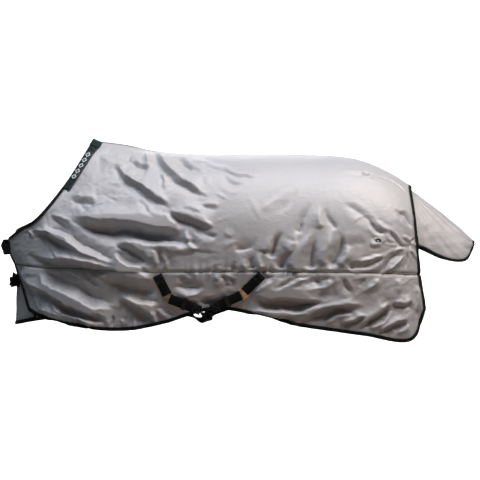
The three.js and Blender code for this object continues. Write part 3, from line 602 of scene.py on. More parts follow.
def lengths(points, axis):
    """Distance along a grid's axis, as the mean over the other one."""
    steps = np.linalg.norm(np.diff(points, axis=axis), axis=-1).mean(axis=1 - axis)
    return np.concatenate([[0], np.cumsum(steps)])


def cloth_sheet(name, surface, us, vs, thickness, material, flip):
    """A sheet of even thickness over a surface, with its edges closed."""
    u, v = np.meshgrid(us, vs, indexing="ij")
    middle = surface.point(u, v)
    n = unit(np.cross(np.gradient(middle, axis=0), np.gradient(middle, axis=1)))
    if flip:
        n = -n
    rows, columns = u.shape
    outer, inner = middle + n * thickness / 2, middle - n * thickness / 2
    vertices = np.concatenate([outer.reshape(-1, 3), inner.reshape(-1, 3)])
    count = rows * columns
    faces = [grid_faces(rows, columns, 0, flip), grid_faces(rows, columns, count, not flip)]
    index = np.arange(count).reshape(rows, columns)
    rim = np.concatenate([index[0, :-1], index[:-1, -1], index[-1, :0:-1], index[:0:-1, 0]])
    following = np.roll(rim, -1)
    wall = np.stack([rim, following, following + count, rim + count], -1)
    faces.append(wall[:, ::-1] if flip else wall)
    across, along = np.meshgrid(lengths(middle, 1), lengths(middle, 0))
    uv = np.stack([along.ravel(), across.ravel()], -1)
    return new_object(name, vertices, np.concatenate(faces), material, np.concatenate([uv, uv]))


def ribbon(name, p, n, side, profile, material):
    """A strip with the cross-section profile, a ring of (across, out) points, along frames p, n, side."""
    profile = np.asarray(profile, float)
    if profile.ndim == 2:
        profile = np.broadcast_to(profile, (len(p),) + profile.shape)
    ring = profile.shape[1]
    vertices = p[:, None] + side[:, None] * profile[..., :1] + n[:, None] * profile[..., 1:]
    count = len(p)
    i, j = np.meshgrid(np.arange(count - 1), np.arange(ring), indexing="ij")
    k, following = i + 1, (j + 1) % ring
    corners = [i * ring + j, i * ring + following, k * ring + following, k * ring + j]
    faces = np.stack(corners, -1).reshape(-1, 4).tolist()
    faces += [list(range(ring))[::-1], list(range((count - 1) * ring, count * ring))]
    run = np.concatenate([[0], np.cumsum(np.linalg.norm(np.diff(p, axis=0), axis=1))])
    uv = np.stack([np.repeat(run, ring), np.tile(profile[0, :, 0], count)], -1)
    vertices = vertices.reshape(-1, 3)
    # its faces point outwards if the volume they close is positive, which the first few thousand show
    volume = 0.0
    for f in faces[:4000]:
        a, b, c = (vertices[k] - vertices[0] for k in f[:3])
        volume += np.dot(a, np.cross(b, c))
    if volume < 0:
        faces = [f[::-1] for f in faces]
    return new_object(name, vertices, faces, material, uv)


def flat_oval(half_width, half_thickness, points=5, centre=(0.0, 0.0)):
    """A flat strip's cross-section with rounded edges."""
    ring = []
    for turn in (0, 1):
        for a in np.linspace(-math.pi / 2, math.pi / 2, points):
            x = half_width - half_thickness + half_thickness * math.cos(a)
            z = half_thickness * math.sin(a)
            ring.append((x, z) if turn == 0 else (-x, -z))
        ring.append((0, half_thickness) if turn == 0 else (0, -half_thickness))
    return np.array(ring) + np.array(centre)


def even(points, step):
    """The points of a path, spaced evenly, as indexes into it."""
    run = np.concatenate([[0], np.cumsum(np.linalg.norm(np.diff(points, axis=0), axis=1))])
    return np.interp(np.linspace(0, run[-1], max(3, int(run[-1] / step))), run, np.arange(len(points)))


def edge_path(surface, pairs, step):
    """Frames along the edge through the given (u, v) pairs, spaced evenly. side points out past the edge."""
    pairs = np.array(pairs, float)
    between = [np.linspace(a, b, 60, endpoint=False) for a, b in zip(pairs, pairs[1:])]
    fine = np.concatenate(between + [pairs[-1:]])
    at = even(surface.point(fine[:, 0], fine[:, 1]), step)
    index = np.arange(len(fine))
    uv = np.stack([np.interp(at, index, fine[:, k]) for k in (0, 1)], -1)
    p, n = surface.frames(uv[:, 0], uv[:, 1])
    for _ in range(3):
        n[1:-1] = unit(n[:-2] + 2 * n[1:-1] + n[2:])
    tangent = unit(np.gradient(p, axis=0))
    side = unit(np.cross(tangent, n))
    return p, n, side


def route(points, normals, step=0.006):
    """Frames along a strap's route, its flat face turning from the first normal to the last."""
    curve, facing = spline(points, 1), spline(normals, 1)
    fine = np.linspace(0, 1, 400)
    at = even(curve(fine), step) / 399
    p, n = curve(at), facing(at)
    tangent = unit(np.gradient(p, axis=0))
    n = unit(n - tangent * np.sum(n * tangent, -1, keepdims=True))
    return p, n, unit(np.cross(tangent, n))


def dashes(name, rows, material, pitch=7 * MM, length=4.5 * MM, radius=0.55 * MM):
    """Lock-stitches along rows of (points, normals), as one mesh of short rounded threads."""
    vertices, faces = [], []
    for p, n in rows:
        p = np.asarray(p)
        at = even(p, pitch)
        index = np.arange(len(p))
        q = np.stack([np.interp(at, index, p[:, k]) for k in range(3)], -1)
        m = unit(np.stack([np.interp(at, index, np.asarray(n)[:, k]) for k in range(3)], -1))
        tangent = unit(np.gradient(q, axis=0))
        side = unit(np.cross(tangent, m))
        for a, t, s, o in zip(q, tangent, side, m):
            first = len(vertices)
            for along, out in ((-0.5, -0.3), (-0.28, 0.9), (0.28, 0.9), (0.5, -0.3)):
                for across in (-1, 1):
                    vertices.append(a + t * along * length + o * out * radius + s * across * radius * 1.1)
            for k in (0, 2, 4):
                faces.append((first + k, first + k + 2, first + k + 3, first + k + 1))
            faces.append((first, first + 1, first + 7, first + 6))
            faces += [(first + 4, first + 2, first, first + 6), (first + 1, first + 3, first + 5, first + 7)]
    return new_object(name, vertices, faces, material)


# --- Materials
WAVE_LENGTH = 0.314  # metres between the bands of a wave texture at scale 1


def linear(code):
    """A colour written as sRGB hex, in linear light."""
    channels = [int(code[i:i + 2], 16) / 255 for i in (1, 3, 5)]
    return tuple(c / 12.92 if c <= 0.04045 else ((c + 0.055) / 1.055) ** 2.4 for c in channels) + (1.0,)


def add(tree, kind, inputs=None, **settings):
    """A node of that kind, with its settings, and its inputs set or linked."""
    made = tree.nodes.new("ShaderNode" + kind)
    for key, value in settings.items():
        setattr(made, key, value)
    for socket, value in (inputs or {}).items():
        if isinstance(value, bpy.types.NodeSocket):
            tree.links.new(value, made.inputs[socket])
        else:
            made.inputs[socket].default_value = value
    return made


def start_material(name, **constants):
    """A new material, its node tree and its shader, with the constants on the shader's own sockets."""
    made = bpy.data.materials.new(name)
    made.use_nodes = True
    tree = made.node_tree
    shader = tree.nodes["Principled BSDF"]
    for key, value in constants.items():
        shader.inputs[key.replace("_", " ").title().replace("Ior", "IOR")].default_value = value
    return made, tree, shader


def coated_polyester(settings):
    """Silver-grey polyester with a coated back: closely woven, crisp, and with a low silvery shine."""
    material, tree, shader = start_material(
        "coated_polyester_woven", metallic=settings.shine, specular_ior_level=0.5, ior=1.5, sheen_weight=0.08,
    )
    place = add(tree, "TexCoord")
    cloud = add(tree, "TexNoise", {"Vector": place.outputs["Object"], "Scale": 3.2, "Detail": 3.0})
    warm = tuple(settings.cloth_colour) + (1.0,)
    tint = add(tree, "MixRGB", {"Fac": cloud.outputs["Fac"], "Color1": warm, "Color2": linear("#a9acb3")})
    # yarns 0.5 mm apart are too fine to show, so the weave is drawn four times as coarse
    weave_pitch = 2.0 * MM
    threads = []
    for direction in ("X", "Y"):
        threads.append(add(
            tree, "TexWave",
            {"Vector": place.outputs["UV"], "Scale": WAVE_LENGTH / weave_pitch, "Distortion": 0.3},
            bands_direction=direction,
        ))
    warp, weft = (thread.outputs["Fac"] for thread in threads)
    weave = add(tree, "Math", {0: warp, 1: weft}, operation="MAXIMUM")
    shade = add(tree, "MapRange", {"Value": weave.outputs[0], "To Min": 0.93, "To Max": 1.0})
    colour = add(
        tree, "MixRGB", {"Fac": 1.0, "Color1": tint.outputs[0], "Color2": shade.outputs[0]},
        blend_type="MULTIPLY",
    )
    tree.links.new(colour.outputs[0], shader.inputs["Base Color"])
    # the coating keeps a crumple of creases a few centimetres long
    stretch = add(
        tree, "Mapping",
        {"Vector": place.outputs["Object"], "Rotation": (0.0, 0.5, 0.0), "Scale": (1.0, 1.0, 1.9)},
    )
    crumple = add(
        tree, "TexNoise",
        {"Vector": stretch.outputs[0], "Scale": 17.0, "Detail": 5.0, "Roughness": 0.52, "Distortion": 0.7},
    )
    centred = add(tree, "Math", {0: crumple.outputs["Fac"], 1: 0.5}, operation="SUBTRACT")
    creased = add(tree, "Math", {0: centred.outputs[0]}, operation="ABSOLUTE")
    fine = add(tree, "TexNoise", {"Vector": stretch.outputs[0], "Scale": 70.0, "Detail": 3.0})
    rough = add(tree, "MapRange", {"Value": crumple.outputs["Fac"], "To Min": 0.46, "To Max": 0.6})
    tree.links.new(rough.outputs[0], shader.inputs["Roughness"])
    bump = add(tree, "Bump", {"Strength": settings.crumple, "Distance": 9 * MM, "Height": creased.outputs[0]})
    bump = add(
        tree, "Bump",
        {"Strength": 0.16, "Distance": 1.6 * MM, "Height": fine.outputs["Fac"], "Normal": bump.outputs[0]},
    )
    bump = add(
        tree, "Bump",
        {"Strength": 0.3, "Distance": 0.25 * MM, "Height": weave.outputs[0], "Normal": bump.outputs[0]},
    )
    tree.links.new(bump.outputs[0], shader.inputs["Normal"])
    return material


def woven_tape(name, code, pitch):
    """Black woven tape or webbing: matt, ribbed along its length, with a painted highlight in patches on the
    raised ribs.
    """
    material, tree, shader = start_material(
        name, roughness=0.8, sheen_weight=0.05, sheen_roughness=0.4, specular_ior_level=0.2,
    )
    place = add(tree, "TexCoord")
    rib = add(
        tree, "TexWave", {"Vector": place.outputs["UV"], "Scale": WAVE_LENGTH / pitch, "Distortion": 0.4},
        bands_direction="Y",
    )
    pick = add(
        tree, "TexWave",
        {"Vector": place.outputs["UV"], "Scale": WAVE_LENGTH / (pitch * 0.7), "Distortion": 0.4},
        bands_direction="X",
    )
    height = add(tree, "Math", {0: rib.outputs["Fac"], 1: pick.outputs["Fac"]}, operation="MULTIPLY")
    # painted highlight: the raised ribs are mixed in patches towards a lighter black, as if they catch the light
    rib_highlight_patches = add(tree, "TexNoise", {"Vector": place.outputs["Object"], "Scale": 60.0, "Detail": 4.0})
    fac = add(tree, "Math", {0: height.outputs[0], 1: rib_highlight_patches.outputs["Fac"]}, operation="MULTIPLY")
    base = linear(code)
    light = tuple(min(1.0, 0.005 + c * 1.8) for c in base[:3]) + (1.0,)
    colour = add(tree, "MixRGB", {"Fac": fac.outputs[0], "Color1": base, "Color2": light})
    tree.links.new(colour.outputs[0], shader.inputs["Base Color"])
    bump = add(tree, "Bump", {"Strength": 0.6, "Distance": 0.6 * MM, "Height": height.outputs[0]})
    tree.links.new(bump.outputs[0], shader.inputs["Normal"])
    return material


def plated_steel(code):
    """Brass-toned nickel plate on pressed steel: bright, with fine rub marks and duller hollows."""
    material, tree, shader = start_material("plated_steel_rubbed", metallic=0.8)
    place = add(tree, "TexCoord")
    noise = {"Vector": place.outputs["Object"], "Scale": 140.0, "Detail": 5.0, "Roughness": 0.65}
    rub = add(tree, "TexNoise", noise)
    rubbed = linear("#d2bd86")
    colour = add(tree, "MixRGB", {"Fac": rub.outputs["Fac"], "Color1": linear(code), "Color2": rubbed})
    rough = add(tree, "MapRange", {"Value": rub.outputs["Fac"], "To Min": 0.16, "To Max": 0.42})
    tree.links.new(colour.outputs[0], shader.inputs["Base Color"])
    tree.links.new(rough.outputs[0], shader.inputs["Roughness"])
    bump = add(tree, "Bump", {"Strength": 0.15, "Distance": 0.4 * MM, "Height": rub.outputs["Fac"]})
    tree.links.new(bump.outputs[0], shader.inputs["Normal"])
    return material


LABEL_CENTRE = -11 * MM  # the middle of the neck strip, from the edge of the cloth
LABEL_START = 13 * MM  # from the label's end to its first diamond's tip


def woven_label(code_ground, code_mark):
    """A damask label with a plain row of diamonds: satin ground, lighter figure."""
    material, tree, shader = start_material("damask_label_woven", roughness=0.6)
    place = add(tree, "TexCoord")
    split = add(tree, "SeparateXYZ", {"Vector": place.outputs["UV"]})
    along = add(tree, "Math", {0: split.outputs["X"], 1: LABEL_START}, operation="SUBTRACT")
    along = add(tree, "Math", {0: along.outputs[0], 1: 15 * MM}, operation="PINGPONG")
    across = add(tree, "Math", {0: split.outputs["Y"], 1: LABEL_CENTRE}, operation="SUBTRACT")
    folded = add(tree, "Math", {0: across.outputs[0]}, operation="ABSOLUTE")
    total = add(tree, "Math", {0: along.outputs[0], 1: folded.outputs[0]}, operation="ADD")
    inside = add(tree, "Math", {0: total.outputs[0], 1: 13 * MM}, operation="LESS_THAN")
    hollow = add(tree, "Math", {0: total.outputs[0], 1: 7.5 * MM}, operation="GREATER_THAN")
    mark = add(tree, "Math", {0: inside.outputs[0], 1: hollow.outputs[0]}, operation="MULTIPLY")
    colour = add(
        tree, "MixRGB", {"Fac": mark.outputs[0], "Color1": linear(code_ground), "Color2": linear(code_mark)},
    )
    tree.links.new(colour.outputs[0], shader.inputs["Base Color"])
    return material


def thread(code):
    """Bonded polyester sewing thread: smooth, slightly shiny."""
    material, _, shader = start_material("bonded_sewing_thread", roughness=0.45, sheen_weight=0.2)
    shader.inputs["Base Color"].default_value = linear(code)
    return material


def matt_plain(name, code, roughness, specular):
    """An even, unprinted surface: moulded nylon, a seam's folded edge greyed with painted shade, or painted
    studio board.
    """
    material, _, shader = start_material(name, roughness=roughness, specular_ior_level=specular)
    shader.inputs["Base Color"].default_value = linear(code)
    return material


MATERIALS = {}


def make_materials(context):
    cloth = context.scene.fly_sheet_cloth
    MATERIALS["cloth"] = coated_polyester(cloth)
    MATERIALS["tape"] = woven_tape("polyester_binding_tape", "#0a0e10", 2.4 * MM)
    # painted shade: the welt is the cloth's own seam, coloured darker than the cloth to stand for the shadow in
    # its groove
    MATERIALS["welt"] = matt_plain("polyester_seam_welt", "#82817d", 0.7, 0.2)
    MATERIALS["patch"] = woven_tape("polyester_neck_strip", "#1f292c", 2.6 * MM)
    MATERIALS["webbing"] = woven_tape("polypropylene_webbing", "#060607", 3.0 * MM)
    MATERIALS["metal"] = plated_steel("#f3e8c8")
    MATERIALS["plastic"] = matt_plain("nylon_moulded_black", "#121315", 0.5, 0.4)
    MATERIALS["label"] = woven_label("#1b2326", "#e4e8ea")
    MATERIALS["dark_thread"] = thread("#23282b")
    MATERIALS["grey_thread"] = thread("#8f9296")


# --- Pieces
def centre_of(name):
    low, high = (np.array(c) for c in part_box(name))
    return (low + high) / 2


def finish_node(name, material, edge=0.0, sharpest=30):
    """Gives a node of the frame its material, and rolls its edges over if edge, their width, isn't 0."""
    node = frame["nodes"][name]
    node.data.materials.clear()
    node.data.materials.append(material)
    if edge:
        bevel = node.modifiers.new("rolled_edge", "BEVEL")
        bevel.width = edge
        bevel.segments = 2
        bevel.angle_limit = math.radians(sharpest)


def fold_blend(made, side):
    """Bakes a piece's placement into its mesh; where that side's front folds back on opening is worked out but
    not used.
    """
    joint = next(j for j in frame["joints"] if j["name"] == f"{side.name}_front_open")
    axis = unit(np.array(joint["axis"], float))
    back = np.array([-0.88, 0.47 * -side.sign, 0.0])
    forward = unit(back - axis * (back @ axis))
    pivot = np.array(joint["pos_m"], float)
    start, end = pivot - forward * 0.035, pivot + forward * 0.065
    tuple(start)
    tuple(end)
    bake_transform(made)


# (u, v) pairs right round one side, from the withers by way of the chest and the hem to the croup
EDGE_OUTLINE = [(WITHERS - 0.004, 0), (0, 0), (0, 1), (1, 1), (1, 0.004)]


def binding_profile(count, seed):
    """The folded tape's cross-section at each point, puckered a little by its stitching."""
    ring = flat_oval(9 * MM, 2.5 * MM, centre=(3.5 * MM, 0))
    pucker = 1 + 0.12 * gradient_noise(np.arange(count) * 0.45, 0.5, seed)
    profile = np.repeat(ring[None], count, axis=0)
    profile[..., 1] *= pucker[:, None]
    return profile


class FLYSHEET_OT_cloth(bpy.types.Operator):
    """Hang the two sides of the rug as folded cloth"""

    bl_idname = "fly_sheet.cloth"
    bl_label = "Cloth sides"

    def execute(self, context):
        settings = context.scene.fly_sheet_cloth
        make_materials(context)
        for side in SIDES:
            side.depth = settings.fold_depth
            us = np.linspace(0, 1, 380)
            vs = np.linspace(0.0015, 1, 170)
            made = cloth_sheet(
                f"{side.name}_cloth", side, us, vs, settings.thickness, MATERIALS["cloth"], side.sign < 0,
            )
            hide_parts(*(f"{side.name}_{part}_panel" for part in ("side", "flank", "front")))
            fold_blend(made, side)
        return {"FINISHED"}


class FLYSHEET_OT_bindings(bpy.types.Operator):
    """Fold black tape over every edge of the sides"""

    bl_idname = "fly_sheet.bindings"
    bl_label = "Edge bindings"

    def execute(self, context):
        for side in SIDES:
            p, n, out = edge_path(side, EDGE_OUTLINE, 6 * MM)
            middle = side.base(0.6, 0.6)
            if np.mean(np.sum(out * (p - middle), -1)) < 0:
                out = -out
            made = ribbon(
                f"{side.name}_binding_tape", p, n, out, binding_profile(len(p), side.seed), MATERIALS["tape"],
            )
            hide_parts(*(f"{side.name}_{part}_binding" for part in ("neck", "front", "hem")))
            fold_blend(made, side)
            rows = [(p + out * (-4.2 * MM) + n * (2.4 * MM), n), (p - out * (11 * MM) + n * (1.2 * MM), n)]
            stitches = dashes(f"{side.name}_binding_stitches", rows, MATERIALS["grey_thread"])
            fold_blend(stitches, side)
        return {"FINISHED"}


class FLYSHEET_OT_seams(bpy.types.Operator):
    """Raise the flank seams, the spine seam and the hip darts"""

    bl_idname = "fly_sheet.seams"
    bl_label = "Seams and darts"

    def execute(self, context):
        for side in SIDES:
            us = np.linspace(0.004, 0.996, 420)
            vs = np.full_like(us, V_SEAM)
            p, n = side.frames(us, vs)
            tangent = unit(np.gradient(p, axis=0))
            across = unit(np.cross(tangent, n))
            profile = np.repeat(flat_oval(3.4 * MM, 1.3 * MM, centre=(0, 1.1 * MM))[None], len(us), axis=0)
            profile[..., 1] *= (1 + 0.25 * gradient_noise(us * 130, 0.5, side.seed))[:, None]
            # the welt's darker grey is painted shade of the seam's groove
            made = ribbon(f"{side.name}_flank_seam", p, n, across, profile, MATERIALS["welt"])
            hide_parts(f"{side.name}_flank_welt")
            fold_blend(made, side)
            rows = [(p + across * w + n * (1.2 * MM), n) for w in (-6 * MM, 6 * MM)]
            stitches = dashes(f"{side.name}_flank_stitches", rows, MATERIALS["grey_thread"])
            fold_blend(stitches, side)
            self.hip_dart(side)
        self.spine_seam()
        return {"FINISHED"}

    def hip_dart(self, side):
        """The dart from the eyelet back to the rear edge, and the leaf-shaped patch under the eyelet."""
        dart = [(0.905, 0.50), (0.93, 0.512), (0.96, 0.53), (0.992, 0.548)]
        fine = spline(dart, 1)(np.linspace(0, 1, 40))
        p, n = side.frames(fine[:, 0], fine[:, 1])
        across = unit(np.cross(unit(np.gradient(p, axis=0)), n))
        raised = flat_oval(2.2 * MM, 1.1 * MM, centre=(0, 0.9 * MM))
        made = ribbon(f"{side.name}_hip_dart", p, n, across, raised, MATERIALS["cloth"])
        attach(made, "rug")
        centre = centre_of(f"{side.name}_hip_eyelet")
        grid_u, grid_v = np.meshgrid(np.linspace(0.84, 0.97, 60), np.linspace(0.42, 0.6, 60), indexing="ij")
        gap = np.linalg.norm(side.point(grid_u, grid_v) - centre, axis=-1)
        at = np.unravel_index(gap.argmin(), gap.shape)
        u0, v0 = grid_u[at], grid_v[at]
        t = np.linspace(-1, 1, 15)
        half = 0.0125 * (1 - t**2) ** 0.8 + 0.0006
        us = u0 + 0.017 * t
        p, n = side.frames(us, np.full_like(us, v0) + 0.004 * t)
        across = unit(np.cross(unit(np.gradient(p, axis=0)), n))
        ring = flat_oval(1.0, 0.1)
        heights = np.broadcast_to(ring[:, 1] * 9 * MM + 1.4 * MM, (15, len(ring)))
        profile = np.stack([ring[None, :, 0] * half[:, None], heights], -1)
        leaf = ribbon(f"{side.name}_hip_patch", p, n, across, profile, MATERIALS["cloth"])
        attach(leaf, "rug")

    def spine_seam(self):
        """A felled seam along the back, with two rows of stitches."""
        us = np.linspace(WITHERS + 0.004, 0.996, 300)
        p = LEFT.point(us, np.full_like(us, 0.0015))
        p[:, 1] = 0
        tangent = unit(np.gradient(p, axis=0))
        side = np.broadcast_to([0.0, 1.0, 0.0], p.shape)
        n = unit(np.cross(side, tangent))
        n[n[:, 2] < 0] *= -1
        fell = flat_oval(7 * MM, 1.3 * MM, centre=(0, 0.8 * MM))
        made = ribbon("spine_seam_fell", p, n, side.copy(), fell, MATERIALS["cloth"])
        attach(made, "rug")
        rows = [(p + side * w + n * (2.0 * MM), n) for w in (-4.5 * MM, 4.5 * MM)]
        stitches = dashes("spine_stitches", rows, MATERIALS["grey_thread"])
        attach(stitches, "rug")
        finish_node("spine_seam_tape", MATERIALS["tape"])


class FLYSHEET_OT_neck_trim(bpy.types.Operator):
    """Sew the dark strip and the plain label to the neckline"""

    bl_idname = "fly_sheet.neck_trim"
    bl_label = "Neck strip"

    def execute(self, context):
        p, n, out = self.neckline(0.291)
        material = MATERIALS["patch"]
        self.strip("neck_strip", p, n, out, 21 * MM, 1.7 * MM, 4.4 * MM, material)
        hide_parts("left_neck_patch", "right_neck_patch", "withers_patch")
        rows = [(p + out * w + n * (6.3 * MM), n) for w in (-29 * MM, 7 * MM)]
        stitches = dashes("neck_stitches", rows, MATERIALS["grey_thread"])
        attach(stitches, "rug")
        middle = len(p) // 2
        over = slice(middle - 9, middle + 10)
        self.strip("withers_strip", p[over], n[over], out[over], 22.5 * MM, 1.6 * MM, 7.6 * MM, material)
        label = slice(int(middle * 0.2), int(middle * 0.75))
        place = (p[label], n[label], out[label])
        self.strip("neck_label", *place, 16 * MM, 0.5 * MM, 6.8 * MM, MATERIALS["label"])
        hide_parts("left_neck_label")
        return {"FINISHED"}

    def neckline(self, start):
        """Frames along the neckline, up the left side, over the withers and down the right side."""
        end = WITHERS - 0.0005
        us = np.concatenate([np.linspace(start, end, 120), np.linspace(end, start, 120)])
        left = np.arange(len(us)) < 120
        v = np.zeros_like(us)
        p = np.where(left[:, None], LEFT.base(us, v), RIGHT.base(us, v))
        behind = np.minimum(us + 0.012, WITHERS), np.full_like(us, 0.03)
        n = np.where(left[:, None], LEFT.base_normal(*behind), RIGHT.base_normal(*behind))
        at = even(p, 5 * MM)
        index = np.arange(len(us))
        p, n = (np.stack([np.interp(at, index, w[:, k]) for k in range(3)], -1) for w in (p, n))
        for _ in range(24):
            n[1:-1] = unit(n[:-2] + 2 * n[1:-1] + n[2:])
        out = unit(np.cross(unit(np.gradient(p, axis=0)), n))
        if out[len(out) // 2][0] > 0:
            out = -out
        return p, n, out

    def strip(self, name, p, n, out, half_width, half_thickness, height, material):
        profile = flat_oval(half_width, half_thickness, centre=(LABEL_CENTRE, height))
        made = ribbon(name, p, n, out, profile, material)
        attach(made, "rug")


class FLYSHEET_OT_tail_flap(bpy.types.Operator):
    """Drape the tail flap and bind its edge"""

    bl_idname = "fly_sheet.tail_flap"
    bl_label = "Tail flap"

    def execute(self, context):
        thickness = context.scene.fly_sheet_cloth.thickness
        made = cloth_sheet("tail_flap_cloth", FLAP, np.linspace(0, 1, 90), np.linspace(0, 1, 130), thickness,
                           MATERIALS["cloth"], False)
        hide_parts("tail_flap")
        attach(made, "tail")
        p, n, out = edge_path(FLAP, [(0.12, 0), (1, 0), (1, 1), (0.12, 1)], 5 * MM)
        if np.mean(np.sum(out * (p - FLAP.base(0.5, 0.5)), -1)) < 0:
            out = -out
        ring = flat_oval(6.5 * MM, 2.2 * MM, centre=(2 * MM, 0))
        binding = ribbon("tail_flap_tape", p, n, out, ring, MATERIALS["tape"])
        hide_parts("tail_flap_binding")
        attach(binding, "tail")
        rows = [(p - out * 7.5 * MM + n * 1.0 * MM, n)]
        stitches = dashes("tail_flap_stitches", rows, MATERIALS["grey_thread"])
        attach(stitches, "tail")
        return {"FINISHED"}


def strap_corners(name):
    """The corners of a flat CAD strap, from its own mesh."""
    return np.array([v.co for v in frame["nodes"][name].data.vertices], float)


def long_axis(points):
    """A thin strip's centre, and its directions from the longest to the shortest."""
    centre = points.mean(axis=0)
    _, _, axes = np.linalg.svd(points - centre, full_matrices=False)
    return centre, axes


WEBBING_HALF = 21 * MM
CHEST_HALF = 19 * MM
WEB_THICK = 1.1 * MM
# how far webbing doubles back under itself: little under a strap that a slider runs along
FOLD_BACK = {"tab": 22 * MM, "strap_end": 13 * MM}


def straight_strap(node, outward):
    """A straight CAD strap's centre, its direction, its outer face's normal and half its length."""
    points = strap_corners(node)
    centre, axes = long_axis(points)
    along = axes[0]
    n = axes[2] if np.dot(axes[2], outward) > 0 else -axes[2]
    reach = np.abs((points - centre) @ along).max()
    return centre, along, n, reach


class FLYSHEET_OT_straps(bpy.types.Operator):
    """Run the webbing of the surcingles and of the chest closures"""

    bl_idname = "fly_sheet.straps"
    bl_label = "Webbing straps"

    def execute(self, context):
        for end in ("front", "rear"):
            self.flat_strap(f"{end}_surcingle_tab", "rug", WEBBING_HALF, f"{end}_slot_plate")
            self.flat_strap(f"{end}_strap_end", f"{end}_strap", WEBBING_HALF, f"{end}_surcingle_hook")
            self.curved_strap(f"{end}_belly_strap", f"{end}_strap", WEBBING_HALF)
        for end in ("upper", "lower"):
            self.flat_strap(f"{end}_chest_tab", "right_front", CHEST_HALF, f"{end}_chest_slot_plate")
            self.curved_strap(f"{end}_chest_strap", "left_front", CHEST_HALF)
        return {"FINISHED"}

    def flat_strap(self, node, body, half, fitting):
        """A straight strap that wraps round its fitting's bar and doubles back under itself."""
        outward = np.array([-1.0, 0.3, 0.0]) if "chest" in node else np.array([0.0, -1.0, 0.0])
        centre, along, n, reach = straight_strap(node, outward)
        to_fitting = centre_of(fitting) - centre
        if np.dot(along, to_fitting) < 0:
            along = -along
        start, end = centre - along * reach, centre + along * reach
        turn = 3.4 * MM
        back = FOLD_BACK["strap_end" if node.endswith("strap_end") else "tab"]
        # flat as far as the bar, round it, and back along the inner face
        path = [
            start, centre, end - along * 12 * MM, end - along * 2 * MM,
            end + along * (turn - 1 * MM) - n * turn * 0.9,
            end - along * 2 * MM - n * turn * 1.75, end - along * back - n * turn * 1.45,
        ]
        facing = [n, n, n, n, along, -n, -n]
        p, normals, side = route(path, facing, 3 * MM)
        made = ribbon(node + "_webbing", p, normals, side, flat_oval(half, WEB_THICK), MATERIALS["webbing"])
        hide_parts(node)
        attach(made, body)
        # a sewn box with a cross, where the strap's end is stitched down
        sewn = [start + along * 8 * MM, start + along * min(2 * reach - 12 * MM, 34 * MM)]
        cross = np.cross(along, n)
        corners = [b + cross * w for b in sewn for w in (-half + 5 * MM, half - 5 * MM)]
        loop = [corners[i] + n * (WEB_THICK + 0.2 * MM) for i in (0, 1, 3, 2, 0, 3)]
        line = np.concatenate([np.linspace(a, b, 12) for a, b in zip(loop, loop[1:])])
        row = (line, np.repeat(n[None], len(line), 0))
        stitches = dashes(node + "_stitches", [row], MATERIALS["dark_thread"], 5 * MM)
        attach(stitches, body)

    def strip_middle(self, node):
        """A curved CAD strap's middle line and normals, from its rings of four corners."""
        points = strap_corners(node)
        centre, axes = long_axis(points)
        order = np.argsort((points - centre) @ axes[0])
        rings = points[order].reshape(-1, 4, 3)
        middle = rings.mean(axis=1)
        normals = []
        for ring in rings:
            _, _, local = np.linalg.svd(ring - ring.mean(axis=0), full_matrices=False)
            normals.append(local[0])
        across = np.array(normals)
        across[np.sum(across * across[0], -1) < 0] *= -1
        tangent = unit(np.gradient(middle, axis=0))
        return middle, unit(np.cross(across, tangent))

    def curved_strap(self, node, body, half):
        middle, n = self.strip_middle(node)
        keep = np.unique(np.linspace(0, len(middle) - 1, 9).astype(int))
        p, normals, side = route(middle[keep], n[keep], 4 * MM)
        made = ribbon(node + "_webbing", p, normals, side, flat_oval(half, WEB_THICK), MATERIALS["webbing"])
        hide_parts(node)
        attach(made, body)


class FLYSHEET_OT_metalwork(bpy.types.Operator):
    """Finish the clips, the sliders and the hip eyelets"""

    bl_idname = "fly_sheet.metalwork"
    bl_label = "Clips and eyelets"

    def execute(self, context):
        fittings = [n for n in frame["nodes"] if n.endswith(("slot_plate", "hook", "slider"))]
        if not fittings:
            raise RuntimeError("the frame has no clips")
        for name in fittings:
            finish_node(name, MATERIALS["plastic" if name.endswith("slider") else "metal"], 0.7 * MM, 40)
        for side in SIDES:
            finish_node(f"{side.name}_hip_eyelet", MATERIALS["tape"], 0.5 * MM)
        return {"FINISHED"}


WALL = 16.0  # metres from the rug to the wall of the studio


